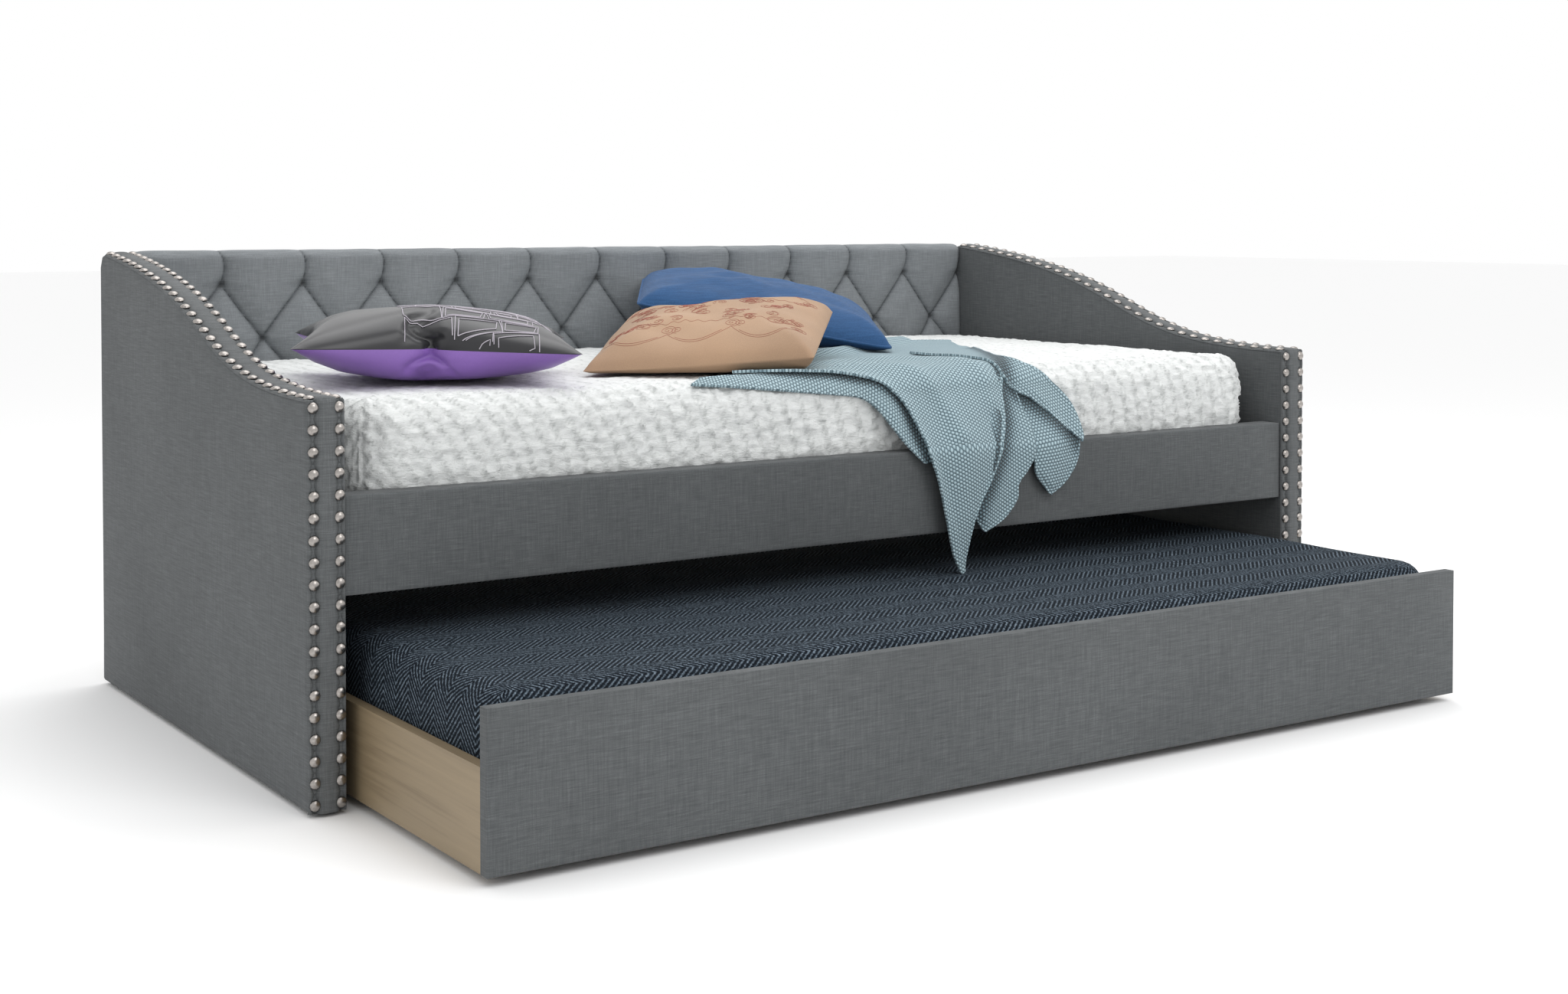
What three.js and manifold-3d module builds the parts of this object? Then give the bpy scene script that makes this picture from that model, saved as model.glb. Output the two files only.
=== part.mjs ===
// Upholstered trundle daybed, in millimetres. X runs along the bed, -Y is its front, +Z is up.
// The floor is z = 0. The origin is under the middle of the bed and its part-drawn trundle.
import * as THREE from 'three';
import { mergeVertices } from 'three/addons/utils/BufferGeometryUtils.js';
import Module from 'manifold-3d';

const wasm = await Module();
wasm.setup();

// ---- Driving dimensions -------------------------------------------------------------------
const gap = 0.5;                 // clearance between pieces that are upholstered over each other
const innerLength = 1930;        // between the two arms
const armThickness = 58;
const bedDepth = 1050;           // front of the arms to the rear of the back
const glideHeight = 6;
const armFrontHeight = 604;
const backHeight = 800;
const railBottom = 315;
const railTop = 461;
const railThickness = 45;
const railSetBack = 7;           // rail face behind the front of the arms
const backBoardThickness = 18;
const backPadThickness = 25;
const nailStripWidth = 13;
const nailStripHeight = 4;
const slatCount = 9;
const slatTop = 380;
const mattressTop = 582;
const coverletThickness = 6;
const pillowRest = 590;          // what lies on the made bed starts here
const pullOut = 426;             // how far the trundle stands out of the bed
const trundleLength = 1893;
const trundleDepth = 1000;
const trundleFloorGap = 14;
const trundlePanelTop = 234;
const trundlePanelThickness = 20;
const trundleSideTop = 154;
const trundleBoardThickness = 18;
const trundleDeckTop = 94;
const trundleMattressTop = 246;
const wheelRadius = 30;
const wheelWidth = 20;
const axleRadius = 5;
const throwTip = 262;            // lowest point of the throw, clear of the trundle's mattress
const bracketThickness = 3;
const bracketBoltZ = 378;
const bracketBoltReach = 35;
const boltRadius = 4;
const boltDepth = 38;            // how far a bolt runs into an arm

const armX = innerLength / 2;
const frontY = -bedDepth / 2;
const backY = bedDepth / 2;
const railFaceY = frontY + railSetBack;
const railRearY = railFaceY + railThickness;
const backBoardY = backY - backBoardThickness;
const backPadY = backBoardY - backPadThickness;
const frontBracketY = railRearY + gap;
const rearBracketY = backPadY + gap;
const trundleFrontY = frontY - pullOut;
const trundleRearY = trundleFrontY + trundleDepth;
const trundleX = trundleLength / 2;

// ---- Finishes -----------------------------------------------------------------------------
function finish(color, roughness, metalness = 0) {
  return () => new THREE.MeshStandardMaterial({ color, roughness, metalness });
}

const greyLinen = finish(0x6f7377, 0.95);
const pine = finish(0xa8926f, 0.7);
const plywood = finish(0x9b8463, 0.75);
const pewter = finish(0xa9a5a0, 0.3, 1);
const steel = finish(0x54575a, 0.45, 0.9);
const blackPlastic = finish(0x17181a, 0.6);
const whiteCotton = finish(0xe6eae6, 0.95);
const ticking = finish(0xd9d6cc, 0.95);
const herringbone = finish(0x3d454e, 0.95);
const charcoalSatin = finish(0x47474b, 0.5);
const navyCotton = finish(0x2f4266, 0.9);
const tanCotton = finish(0xa87b56, 0.9);
const aquaKnit = finish(0x9cc0cb, 1);

// ---- Solids -------------------------------------------------------------------------------
function toSolid(geometry) {
  const bare = geometry.clone();
  bare.deleteAttribute('normal');
  bare.deleteAttribute('uv');
  const merged = mergeVertices(bare, 1e-4);
  return new wasm.Manifold(new wasm.Mesh({
    numProp: 3,
    vertProperties: new Float32Array(merged.attributes.position.array),
    triVerts: new Uint32Array(merged.index.array),
  }));
}

function toGeometry(solid) {
  const mesh = solid.getMesh();
  const geometry = new THREE.BufferGeometry();
  geometry.setAttribute('position', new THREE.BufferAttribute(mesh.vertProperties, 3));
  geometry.setIndex(new THREE.BufferAttribute(mesh.triVerts, 1));
  geometry.computeVertexNormals();
  return geometry;
}

function cut(geometry, ...tools) {
  return toGeometry(tools.reduce((solid, tool) => solid.subtract(toSolid(tool)), toSolid(geometry)));
}

function join(...geometries) {
  return toGeometry(geometries.map(toSolid).reduce((solid, next) => solid.add(next)));
}

// A box from its six sides.
function block(x0, x1, y0, y1, z0, z1) {
  const geometry = new THREE.BoxGeometry(x1 - x0, y1 - y0, z1 - z0);
  return geometry.translate((x0 + x1) / 2, (y0 + y1) / 2, (z0 + z1) / 2);
}

// An outline drawn in (y, z), run along X from x0 to x1.
function alongX(shape, x0, x1, curveSegments = 12) {
  const geometry = new THREE.ExtrudeGeometry(shape, { depth: x1 - x0, bevelEnabled: false, curveSegments });
  const axes = new THREE.Matrix4().makeBasis(
    new THREE.Vector3(0, 1, 0), new THREE.Vector3(0, 0, 1), new THREE.Vector3(1, 0, 0));
  return geometry.applyMatrix4(axes).translate(x0, 0, 0);
}

function cylinderAlongX(x0, x1, y, z, radius, segments = 24) {
  const geometry = new THREE.CylinderGeometry(radius, radius, x1 - x0, segments);
  return geometry.rotateZ(Math.PI / 2).translate((x0 + x1) / 2, y, z);
}

function roundedRectangle(x0, x1, y0, y1, radius) {
  const shape = new THREE.Shape();
  shape.moveTo(x0 + radius, y0);
  shape.lineTo(x1 - radius, y0);
  shape.absarc(x1 - radius, y0 + radius, radius, -Math.PI / 2, 0);
  shape.lineTo(x1, y1 - radius);
  shape.absarc(x1 - radius, y1 - radius, radius, 0, Math.PI / 2);
  shape.lineTo(x0 + radius, y1);
  shape.absarc(x0 + radius, y1 - radius, radius, Math.PI / 2, Math.PI);
  shape.lineTo(x0, y0 + radius);
  shape.absarc(x0 + radius, y0 + radius, radius, Math.PI, 1.5 * Math.PI);
  return shape;
}

// A mattress: rounded corners in plan, and soft edges all round.
function softBlock(x0, x1, y0, y1, z0, z1, corner, edge) {
  const outline = roundedRectangle(x0 + edge, x1 - edge, y0 + edge, y1 - edge, corner - edge);
  const options = {
    depth: z1 - z0 - 2 * edge, curveSegments: 4, bevelEnabled: true,
    bevelThickness: edge, bevelSize: edge, bevelSegments: 3,
  };
  return new THREE.ExtrudeGeometry(outline, options).translate(0, 0, z0 + edge);
}

// ---- Scene graph --------------------------------------------------------------------------
const part = new THREE.Group();
const bed = new THREE.Group();
const trundle = new THREE.Group();
bed.position.y = pullOut / 2;
trundle.position.y = pullOut / 2;
part.add(bed, trundle);

function add(group, name, geometry, material) {
  const mesh = new THREE.Mesh(geometry, material());
  mesh.name = name;
  group.add(mesh);
  return mesh;
}

const ends = [['left', -1], ['right', 1]];

// A span on one side of the bed, from its distances to the middle.
function mirroredSpan(side, near, far) {
  return side < 0 ? [-far, -near] : [near, far];
}

// ---- Arms ---------------------------------------------------------------------------------
// The swept top of an arm, from the back down to the front post.
const armSweep = new THREE.CubicBezierCurve(
  new THREE.Vector2(backY, backHeight), new THREE.Vector2(-157, 738),
  new THREE.Vector2(23, 603), new THREE.Vector2(frontY, armFrontHeight));
const rearCornerRadius = 30;
const frontCornerRadius = 10;

function armOutline(inset, bottom) {
  const rear = backY - inset;
  const front = frontY + inset;
  const sweep = armSweep.getSpacedPoints(28).filter(
    (point) => point.x < rear - rearCornerRadius && point.x > front + frontCornerRadius);
  const shape = new THREE.Shape();
  shape.moveTo(front, bottom);
  shape.lineTo(rear, bottom);
  shape.lineTo(rear, backHeight - inset - rearCornerRadius);
  shape.quadraticCurveTo(rear, backHeight - inset, rear - rearCornerRadius, backHeight - inset - 3);
  for (const point of sweep) {
    shape.lineTo(point.x, point.y - inset);
  }
  const frontTop = armFrontHeight - inset;
  shape.quadraticCurveTo(front, frontTop, front, frontTop - frontCornerRadius);
  return shape;
}

function boltHole(side, y) {
  const span = mirroredSpan(side, armX - 20, armX + boltDepth + 2);
  return cylinderAlongX(...span, y, bracketBoltZ, boltRadius + 0.3, 16);
}

function makeArm(name, side) {
  const padding = 12;
  const holes = [boltHole(side, frontBracketY + bracketBoltReach), boltHole(side, rearBracketY - bracketBoltReach)];
  const [x0, x1] = mirroredSpan(side, armX, armX + armThickness);
  const cover = alongX(armOutline(0, glideHeight), x0, x1, 4);
  const pocket = alongX(armOutline(padding, glideHeight - 1), x0 + padding, x1 - padding, 4);
  add(bed, `${name}_arm_upholstery`, cut(cover, pocket, ...holes), greyLinen);
  const coreInset = padding + 2 * gap;
  const core = alongX(armOutline(coreInset, glideHeight), x0 + coreInset, x1 - coreInset, 4);
  add(bed, `${name}_arm_panel`, cut(core, ...holes), plywood);
}

// Points moved square off a path, to its left.
function offsetPath(path, distance) {
  return path.map((point, index) => {
    const before = path[Math.max(index - 1, 0)];
    const after = path[Math.min(index + 1, path.length - 1)];
    const direction = after.clone().sub(before).normalize();
    return new THREE.Vector2(point.x - direction.y * distance, point.y + direction.x * distance);
  });
}

// A row of dome nails with its backing tape, up the front edge of an arm and back along the sweep.
function makeNailTrim(name, x) {
  const lift = 0.4;
  const firstNail = glideHeight + 12;
  const lastNail = backY - 42;
  const edge = armOutline(0, firstNail).getPoints(4).slice(2).reverse();
  const path = [new THREE.Vector2(frontY, firstNail), ...edge.filter((point) => point.x < lastNail)];
  const shape = new THREE.Shape([
    ...offsetPath(path, lift), ...offsetPath(path, lift + nailStripHeight).reverse()]);
  add(bed, name, alongX(shape, x - nailStripWidth / 2, x + nailStripWidth / 2), pewter);
}

function makeGlide(name, side, y) {
  const width = 24;
  const [x0, x1] = mirroredSpan(side, armX + (armThickness - width) / 2, armX + (armThickness + width) / 2);
  add(bed, name, block(x0, x1, y - width, y + width, 0, glideHeight), blackPlastic);
}

const nailInset = 9;
for (const [name, side] of ends) {
  makeArm(name, side);
  makeNailTrim(`${name}_inner_nail_trim`, side * (armX + nailInset));
  makeNailTrim(`${name}_outer_nail_trim`, side * (armX + armThickness - nailInset));
  makeGlide(`${name}_front_glide`, side, frontY + 50);
  makeGlide(`${name}_rear_glide`, side, backY - 50);
}

// ---- Back ---------------------------------------------------------------------------------
const backBottom = 300;
const backReach = armX - gap;

function makeBack() {
  const board = block(-backReach, backReach, backBoardY, backY - 3, backBottom, backHeight - 16);
  add(bed, 'back_board', board, plywood);
  // The tufted pad lies on the front of the board and is rolled over its top edge.
  const pad = new THREE.Shape();
  pad.moveTo(backBoardY - gap, railTop - 20);
  pad.lineTo(backBoardY - gap, backHeight - 15);
  pad.lineTo(backY - 3, backHeight - 15);
  pad.quadraticCurveTo(backY - 3, backHeight, backBoardY - 4, backHeight + 1);
  pad.quadraticCurveTo(backPadY, backHeight - 2, backPadY, backHeight - 45);
  pad.lineTo(backPadY, railTop - 20);
  add(bed, 'back_tufted_pad', alongX(pad, -backReach, backReach, 5), greyLinen);
  const rear = block(-backReach, backReach, backY - 2.5, backY, backBottom, backHeight - 16);
  add(bed, 'back_rear_cover', rear, greyLinen);
}

makeBack();

// ---- Rails, cleats and slats --------------------------------------------------------------
const cleatSection = 25;
const cleatReach = 850;
const slatThickness = 15;
const slatWidth = 75;
const railBoardThickness = 26;
const railBoardBottom = railBottom + 3;
const railBoardTop = railTop - 10;
const rearRailY = backPadY + 1;

function makeRails() {
  const boardY = railRearY - railBoardThickness;
  const cover = block(-backReach, backReach, railFaceY, railRearY, railBottom, railTop);
  const pocket = block(-armX, armX, boardY - gap, railRearY + 1, railBoardBottom - gap, railBoardTop + gap);
  add(bed, 'front_rail_upholstery', cut(cover, pocket), greyLinen);
  const front = block(-backReach, backReach, boardY, railRearY, railBoardBottom, railBoardTop);
  add(bed, 'front_rail_board', front, pine);
  const rear = block(-backReach, backReach, rearRailY, backBoardY - gap, railBottom + 5, railTop - 25);
  add(bed, 'rear_rail_board', rear, pine);
}

function makeSlatBase() {
  const top = slatTop - slatThickness - gap;
  const frontCleatY = railRearY + gap;
  const rearCleatY = rearRailY - gap;
  const front = block(-cleatReach, cleatReach, frontCleatY, frontCleatY + cleatSection, top - cleatSection, top);
  add(bed, 'front_slat_cleat', front, pine);
  const rear = block(-cleatReach, cleatReach, rearCleatY - cleatSection, rearCleatY, top - cleatSection, top);
  add(bed, 'rear_slat_cleat', rear, pine);
  const pitch = (2 * cleatReach - slatWidth) / (slatCount - 1);
  for (let i = 0; i < slatCount; i += 1) {
    const x = (i - (slatCount - 1) / 2) * pitch;
    const slat = block(x - slatWidth / 2, x + slatWidth / 2, frontCleatY + 3, rearCleatY - 3,
      slatTop - slatThickness, slatTop);
    add(bed, `slat_${String(i + 1).padStart(2, '0')}`, slat, pine);
  }
}

// An angle plate holds each end of each rail to an arm, with a bolt into the arm's panel.
function makeBracket(name, side, railY, inward) {
  const [legX0, legX1] = mirroredSpan(side, armX - gap - 60, armX - gap);
  const [armX0, armX1] = mirroredSpan(side, armX - gap - bracketThickness, armX - gap);
  const railLeg = [railY, railY + inward * bracketThickness].sort((a, b) => a - b);
  const armLeg = [railY, railY + inward * 60].sort((a, b) => a - b);
  const [z0, z1] = [bracketBoltZ - 45, bracketBoltZ + 45];
  const plate = join(
    block(legX0, legX1, ...railLeg, z0, z1), block(armX0, armX1, ...armLeg, z0, z1));
  const boltY = railY + inward * bracketBoltReach;
  add(bed, `${name}_bracket`, cut(plate, boltHole(side, boltY)), steel);
  const head = mirroredSpan(side, armX - gap - bracketThickness - 5, armX - gap - bracketThickness - 0.3);
  const shank = mirroredSpan(side, armX - gap - bracketThickness - 1, armX + boltDepth);
  const bolt = join(
    cylinderAlongX(...head, boltY, bracketBoltZ, 8, 12), cylinderAlongX(...shank, boltY, bracketBoltZ, boltRadius, 16));
  add(bed, `${name}_bolt`, bolt, steel);
}

makeRails();
makeSlatBase();
for (const [name, side] of ends) {
  makeBracket(`${name}_front`, side, frontBracketY, 1);
  makeBracket(`${name}_rear`, side, rearBracketY, -1);
}

// ---- Bedding ------------------------------------------------------------------------------
const mattressX = 929;
const mattressFrontY = railRearY + 7;
const mattressRearY = backPadY - 9;
const coverletBottom = 436;

function makeMattress() {
  const edge = 22;
  const corner = 70;
  const mattress = softBlock(-mattressX, mattressX, mattressFrontY, mattressRearY,
    slatTop + gap, mattressTop, corner, edge);
  add(bed, 'daybed_mattress', mattress, ticking);
  const reach = gap + coverletThickness;
  const outer = softBlock(-mattressX - reach, mattressX + reach, mattressFrontY - reach, mattressRearY + reach,
    slatTop, mattressTop + reach, corner + reach, edge + reach);
  const inner = softBlock(-mattressX - gap, mattressX + gap, mattressFrontY - gap, mattressRearY + gap,
    slatTop - 10, mattressTop + gap, corner + gap, edge + gap);
  const below = block(-1000, 1000, -600, 600, 0, coverletBottom);
  add(bed, 'ruched_coverlet', cut(outer, inner, below), whiteCotton);
}

// A cushion with four pulled corners, from its side and its fullness above and below the seam.
function cushionGeometry(size, above, below) {
  const pullIn = 0.12;
  const geometry = new THREE.SphereGeometry(1, 24, 8);
  geometry.rotateX(Math.PI / 2);
  const point = new THREE.Vector3();
  const position = geometry.attributes.position;
  for (let i = 0; i < position.count; i += 1) {
    point.fromBufferAttribute(position, i);
    const angle = Math.atan2(point.y, point.x);
    const square = 1 / Math.max(Math.abs(Math.cos(angle)), Math.abs(Math.sin(angle)));
    const cornerShare = (square - 1) / (Math.SQRT2 - 1);
    const reach = (size / 2) * square * (1 - pullIn * (1 - cornerShare));
    const spread = Math.min(Math.hypot(point.x, point.y) * 1.02, 1);
    const fullness = point.z > 0 ? above : -below;
    const height = fullness * (1 - spread ** 2) ** (0.5 + 0.25 * cornerShare);
    position.setXYZ(i, reach * spread * Math.cos(angle), reach * spread * Math.sin(angle), height);
  }
  return geometry;
}

// A cushion in place: its middle, its turn about Z, then its lean back and its tip to the right.
function placeCushion(name, { size, above, below, middle, turn, lean, tip }, material) {
  const cushion = add(bed, name, cushionGeometry(size, above, below), material);
  cushion.position.set(...middle);
  cushion.rotation.set(lean, tip, turn, 'ZXY');
}

// A folded throw: slices across it, from the back of the mattress to its lowest point.
function makeThrow() {
  const thickness = 6;
  const onTop = pillowRest + 1;
  const slices = [
    [600, 735, 190, onTop, 0], [480, 715, 60, onTop, 0], [300, 660, -120, onTop, 0], [60, 600, -270, onTop, 0],
    [-200, 520, -380, onTop, 0], [-225, 470, -430, onTop, 0], [-200, 450, -456, onTop, 0.3],
    [-150, 442, -484, onTop - 25, 0.9], [-40, 435, -505, railTop + 30, 1.1],
    [60, 427, -530, railTop - 12, 1.5], [100, 390, -532, 385, 1.5], [118, 260, -532, 335, 1.5],
    [140, 165, -532, throwTip, 1.5],
  ];
  const positions = [];
  for (const [x0, x1, y, z, tilt] of slices) {
    const outward = [-Math.sin(tilt) * thickness, Math.cos(tilt) * thickness];
    positions.push(x0, y, z, x1, y, z, x1, y + outward[0], z + outward[1], x0, y + outward[0], z + outward[1]);
  }
  const faces = [0, 2, 1, 0, 3, 2];
  for (let i = 0; i < slices.length - 1; i += 1) {
    for (let k = 0; k < 4; k += 1) {
      const a = 4 * i + k;
      const b = 4 * i + ((k + 1) % 4);
      faces.push(a, b + 4, a + 4, a, b, b + 4);
    }
  }
  const last = 4 * (slices.length - 1);
  faces.push(last, last + 1, last + 2, last, last + 2, last + 3);
  const geometry = new THREE.BufferGeometry();
  geometry.setAttribute('position', new THREE.Float32BufferAttribute(positions, 3));
  geometry.setIndex(faces);
  geometry.computeVertexNormals();
  add(bed, 'knitted_throw', geometry, aquaKnit);
}

makeMattress();
placeCushion('charcoal_cushion', {
  size: 475, above: 64, below: 63, middle: [-665, -165, 655], turn: -0.4, lean: 0, tip: 0.03,
}, charcoalSatin);
placeCushion('tan_cushion', {
  size: 400, above: 60, below: 44, middle: [-142, -190, 650], turn: -0.69, lean: 0.15, tip: -0.07,
}, tanCotton);
placeCushion('blue_cushion', {
  size: 490, above: 66, below: 50, middle: [180, 140, 672], turn: -0.54, lean: 0.065, tip: 0.18,
}, navyCotton);
makeThrow();

// ---- Trundle box --------------------------------------------------------------------------
const trundleSideX = trundleX - trundleBoardThickness;
const trundlePanelRearY = trundleFrontY + trundlePanelThickness;
const trundleRearFaceY = trundleRearY - trundleBoardThickness;
const trundleCleat = 20;
const trundleSlatThickness = 12;

function makeTrundleBox() {
  const boardThickness = 12;
  const edge = 8;
  const cover = block(-trundleX, trundleX, trundleFrontY, trundlePanelRearY, trundleFloorGap, trundlePanelTop);
  const boardY = trundlePanelRearY - boardThickness;
  const pocket = block(-trundleX + edge, trundleX - edge, boardY - gap, trundlePanelRearY + 1,
    trundleFloorGap + edge, trundlePanelTop - edge);
  add(trundle, 'trundle_front_upholstery', cut(cover, pocket), greyLinen);
  const board = block(-trundleX + edge + gap, trundleX - edge - gap, boardY, trundlePanelRearY,
    trundleFloorGap + edge + gap, trundlePanelTop - edge - gap);
  add(trundle, 'trundle_front_board', board, plywood);
  for (const [name, side] of ends) {
    const [x0, x1] = mirroredSpan(side, trundleSideX, trundleX - 1);
    const plank = block(x0, x1, trundlePanelRearY + gap, trundleRearY, trundleFloorGap, trundleSideTop);
    add(trundle, `trundle_${name}_side_board`, plank, pine);
  }
  const reach = trundleSideX - gap;
  const rear = block(-reach, reach, trundleRearFaceY, trundleRearY, trundleFloorGap, trundleSideTop);
  add(trundle, 'trundle_rear_board', rear, pine);
  const top = trundleDeckTop - trundleSlatThickness - gap;
  const frontY0 = trundlePanelRearY + gap;
  const rearY1 = trundleRearFaceY - gap;
  const front = block(-reach, reach, frontY0, frontY0 + trundleCleat, top - trundleCleat, top);
  add(trundle, 'trundle_front_cleat', front, pine);
  const back = block(-reach, reach, rearY1 - trundleCleat, rearY1, top - trundleCleat, top);
  add(trundle, 'trundle_rear_cleat', back, pine);
}

// The trundle's slats are one roll, joined by two webbing straps.
function makeTrundleSlats() {
  const count = 11;
  const width = 80;
  const strapWidth = 30;
  const pitch = (2 * trundleSideX - width - 20) / (count - 1);
  const y0 = trundlePanelRearY + 2;
  const y1 = trundleRearFaceY - 2;
  const pieces = [];
  for (let i = 0; i < count; i += 1) {
    const x = (i - (count - 1) / 2) * pitch;
    pieces.push(block(x - width / 2, x + width / 2, y0, y1, trundleDeckTop - trundleSlatThickness, trundleDeckTop));
  }
  const strapX = (count - 1) / 2 * pitch + width / 2 - 5;
  for (const y of [y0 + 160, y1 - 160]) {
    pieces.push(block(-strapX, strapX, y - strapWidth / 2, y + strapWidth / 2, trundleDeckTop - 1, trundleDeckTop + 1.5));
  }
  add(trundle, 'trundle_slat_roll', join(...pieces), pine);
}

function makeTrundleMattress() {
  const reach = trundleSideX - 4;
  const mattress = softBlock(-reach, reach, trundlePanelRearY + 3, trundleRearFaceY - 4,
    trundleDeckTop + 2, trundleMattressTop, 75, 36);
  add(trundle, 'trundle_mattress', mattress, herringbone);
}

makeTrundleBox();
makeTrundleSlats();
makeTrundleMattress();

// ---- Casters ------------------------------------------------------------------------------
const casterPlate = 3;
const casterInset = 62;

function wheelGeometry(x0, y) {
  const bore = axleRadius + 0.1;
  const half = wheelWidth / 2;
  const profile = [
    [bore, -half], [12, -half], [14, -half + 4], [wheelRadius - 6, -half + 4], [wheelRadius - 3, -half],
    [wheelRadius, -half + 3], [wheelRadius, half - 3], [wheelRadius - 3, half], [wheelRadius - 6, half - 4],
    [14, half - 4], [12, half], [bore, half], [bore, -half],
  ].map(([radius, height]) => new THREE.Vector2(radius, height));
  const geometry = new THREE.LatheGeometry(profile, 24);
  return geometry.rotateZ(-Math.PI / 2).translate(x0 + half, y, wheelRadius);
}

// A plate screwed to the side board carries a riveted stub axle, and the wheel turns on it.
function makeCaster(name, side, y) {
  const wall = trundleSideX - gap;
  const wheelNear = wall - casterPlate - 3 - wheelWidth;
  const plateSpan = mirroredSpan(side, wall - casterPlate, wall);
  const plate = block(...plateSpan, y - 30, y + 30, trundleFloorGap + 4, trundleFloorGap + 62);
  const shank = cylinderAlongX(...mirroredSpan(side, wheelNear - 2, wall - 1), y, wheelRadius, axleRadius, 24);
  const head = cylinderAlongX(...mirroredSpan(side, wheelNear - 6, wheelNear - 1), y, wheelRadius, 9, 24);
  add(trundle, `caster_mount_${name}`, join(plate, shank, head), steel);
  const [wheelX0] = mirroredSpan(side, wheelNear, wheelNear + wheelWidth);
  add(trundle, `caster_wheel_${name}`, wheelGeometry(wheelX0, y), blackPlastic);
}

for (const [name, side] of ends) {
  makeCaster(`${name}_front`, side, trundlePanelRearY + casterInset);
  makeCaster(`${name}_rear`, side, trundleRearFaceY - casterInset);
}

export default part;
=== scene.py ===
import math

import bpy
import numpy as np
from mathutils import Euler, Matrix, Vector, noise
from mathutils.bvhtree import BVHTree


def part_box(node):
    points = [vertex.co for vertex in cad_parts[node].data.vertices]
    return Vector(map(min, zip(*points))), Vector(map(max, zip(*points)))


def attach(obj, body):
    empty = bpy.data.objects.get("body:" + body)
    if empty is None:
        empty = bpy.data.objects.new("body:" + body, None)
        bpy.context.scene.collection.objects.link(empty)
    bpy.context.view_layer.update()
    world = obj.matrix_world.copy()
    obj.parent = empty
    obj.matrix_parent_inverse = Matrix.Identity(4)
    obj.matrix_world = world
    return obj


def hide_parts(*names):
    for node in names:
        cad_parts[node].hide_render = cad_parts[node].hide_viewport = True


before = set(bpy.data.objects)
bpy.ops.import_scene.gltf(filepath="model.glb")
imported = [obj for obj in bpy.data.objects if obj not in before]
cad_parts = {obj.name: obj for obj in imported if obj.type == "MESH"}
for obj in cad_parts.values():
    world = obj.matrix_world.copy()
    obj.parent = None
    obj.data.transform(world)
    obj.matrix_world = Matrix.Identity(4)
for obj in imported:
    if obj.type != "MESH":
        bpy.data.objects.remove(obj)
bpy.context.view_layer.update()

scene = bpy.context.scene
scene.view_settings.view_transform = "Standard"


# ---- small helpers
def say(text):
    print("scene:", text)


def deselectAll():
    if bpy.context.object and bpy.context.object.mode != "OBJECT":
        bpy.ops.object.mode_set(mode="OBJECT")
    bpy.ops.object.select_all(action="DESELECT")


def pick(piece):
    deselectAll()
    piece.select_set(True)
    bpy.context.view_layer.objects.active = piece


def named(name):
    piece = bpy.context.object
    piece.name = name
    piece.data.name = name
    return piece


def pointsOf(piece):
    flat = np.zeros(len(piece.data.vertices) * 3, np.float32)
    piece.data.vertices.foreach_get("co", flat)
    return flat.reshape(-1, 3).astype(float)


def setPoints(piece, points):
    piece.data.vertices.foreach_set("co", np.asarray(points, np.float32).ravel())
    piece.data.update()


def settle(piece):
    # the object goes to the origin, unturned and unscaled, with its place in its mesh
    pick(piece)
    bpy.ops.object.transform_apply(location=True, rotation=True, scale=True)


def applyAll(piece):
    pick(piece)
    for modifier in list(piece.modifiers):
        bpy.ops.object.modifier_apply(modifier=modifier.name)


def addModifier(piece, kind, **values):
    modifier = piece.modifiers.new(kind.lower(), kind)
    for key, value in values.items():
        setattr(modifier, key, value)
    return modifier


def dress(piece, body, slotName, *materials, standsFor=()):
    piece.data.materials.clear()
    for material in materials:
        piece.data.materials.append(material)
    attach(piece, body)
    if standsFor:
        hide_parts(*standsFor)
    return piece


def noiseAt(points, scale, offset=0.0):
    # smooth noise, about -1 to 1, at each point scaled by one number or one per axis
    where = np.asarray(points) * np.asarray(scale) + offset
    return np.array([noise.noise(Vector(p)) for p in where])


def smoothStep(low, high, value):
    t = np.clip((value - low) / (high - low), 0, 1)
    return t * t * (3 - 2 * t)


def storeMap(piece, perVertex):
    # a UV map in metres from one pair of numbers for each vertex
    while piece.data.uv_layers:
        piece.data.uv_layers.remove(piece.data.uv_layers[0])
    layer = piece.data.uv_layers.new(name="cloth")
    corners = np.zeros(len(piece.data.loops), np.int32)
    piece.data.loops.foreach_get("vertex_index", corners)
    layer.data.foreach_set("uv", np.asarray(perVertex, np.float32)[corners].ravel())


def storeFoldShade(piece, perVertex):
    # painted shade in folds: how deep in a fold each vertex lies, 0 to 1, for the cloth materials to darken as shade
    layer = piece.data.attributes.new("crease", "FLOAT", "POINT")
    layer.data.foreach_set("value", np.clip(perVertex, 0, 1).astype(np.float32))


# ---- materials
def newMaterial(name, colour, roughness, **more):
    material = bpy.data.materials.new(name)
    material.use_nodes = True
    shader = material.node_tree.nodes["Principled BSDF"]
    shader.inputs["Base Color"].default_value = (*colour, 1)
    shader.inputs["Roughness"].default_value = roughness
    for key, value in more.items():
        shader.inputs[key.replace("_", " ")].default_value = value
    return material, material.node_tree, shader


def coordsOf(tree, scale, kind="Object", turn=(0, 0, 0)):
    source = tree.nodes.new("ShaderNodeTexCoord")
    mapping = tree.nodes.new("ShaderNodeMapping")
    mapping.inputs["Scale"].default_value = scale
    mapping.inputs["Rotation"].default_value = turn
    tree.links.new(source.outputs[kind], mapping.inputs["Vector"])
    return mapping.outputs["Vector"]


def noiseNode(tree, coords, scale=1.0, detail=3.0, roughness=0.55, distortion=0.0):
    node = tree.nodes.new("ShaderNodeTexNoise")
    node.inputs["Scale"].default_value = scale
    node.inputs["Detail"].default_value = detail
    node.inputs["Roughness"].default_value = roughness
    node.inputs["Distortion"].default_value = distortion
    tree.links.new(coords, node.inputs["Vector"])
    return node.outputs["Fac"]


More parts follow.
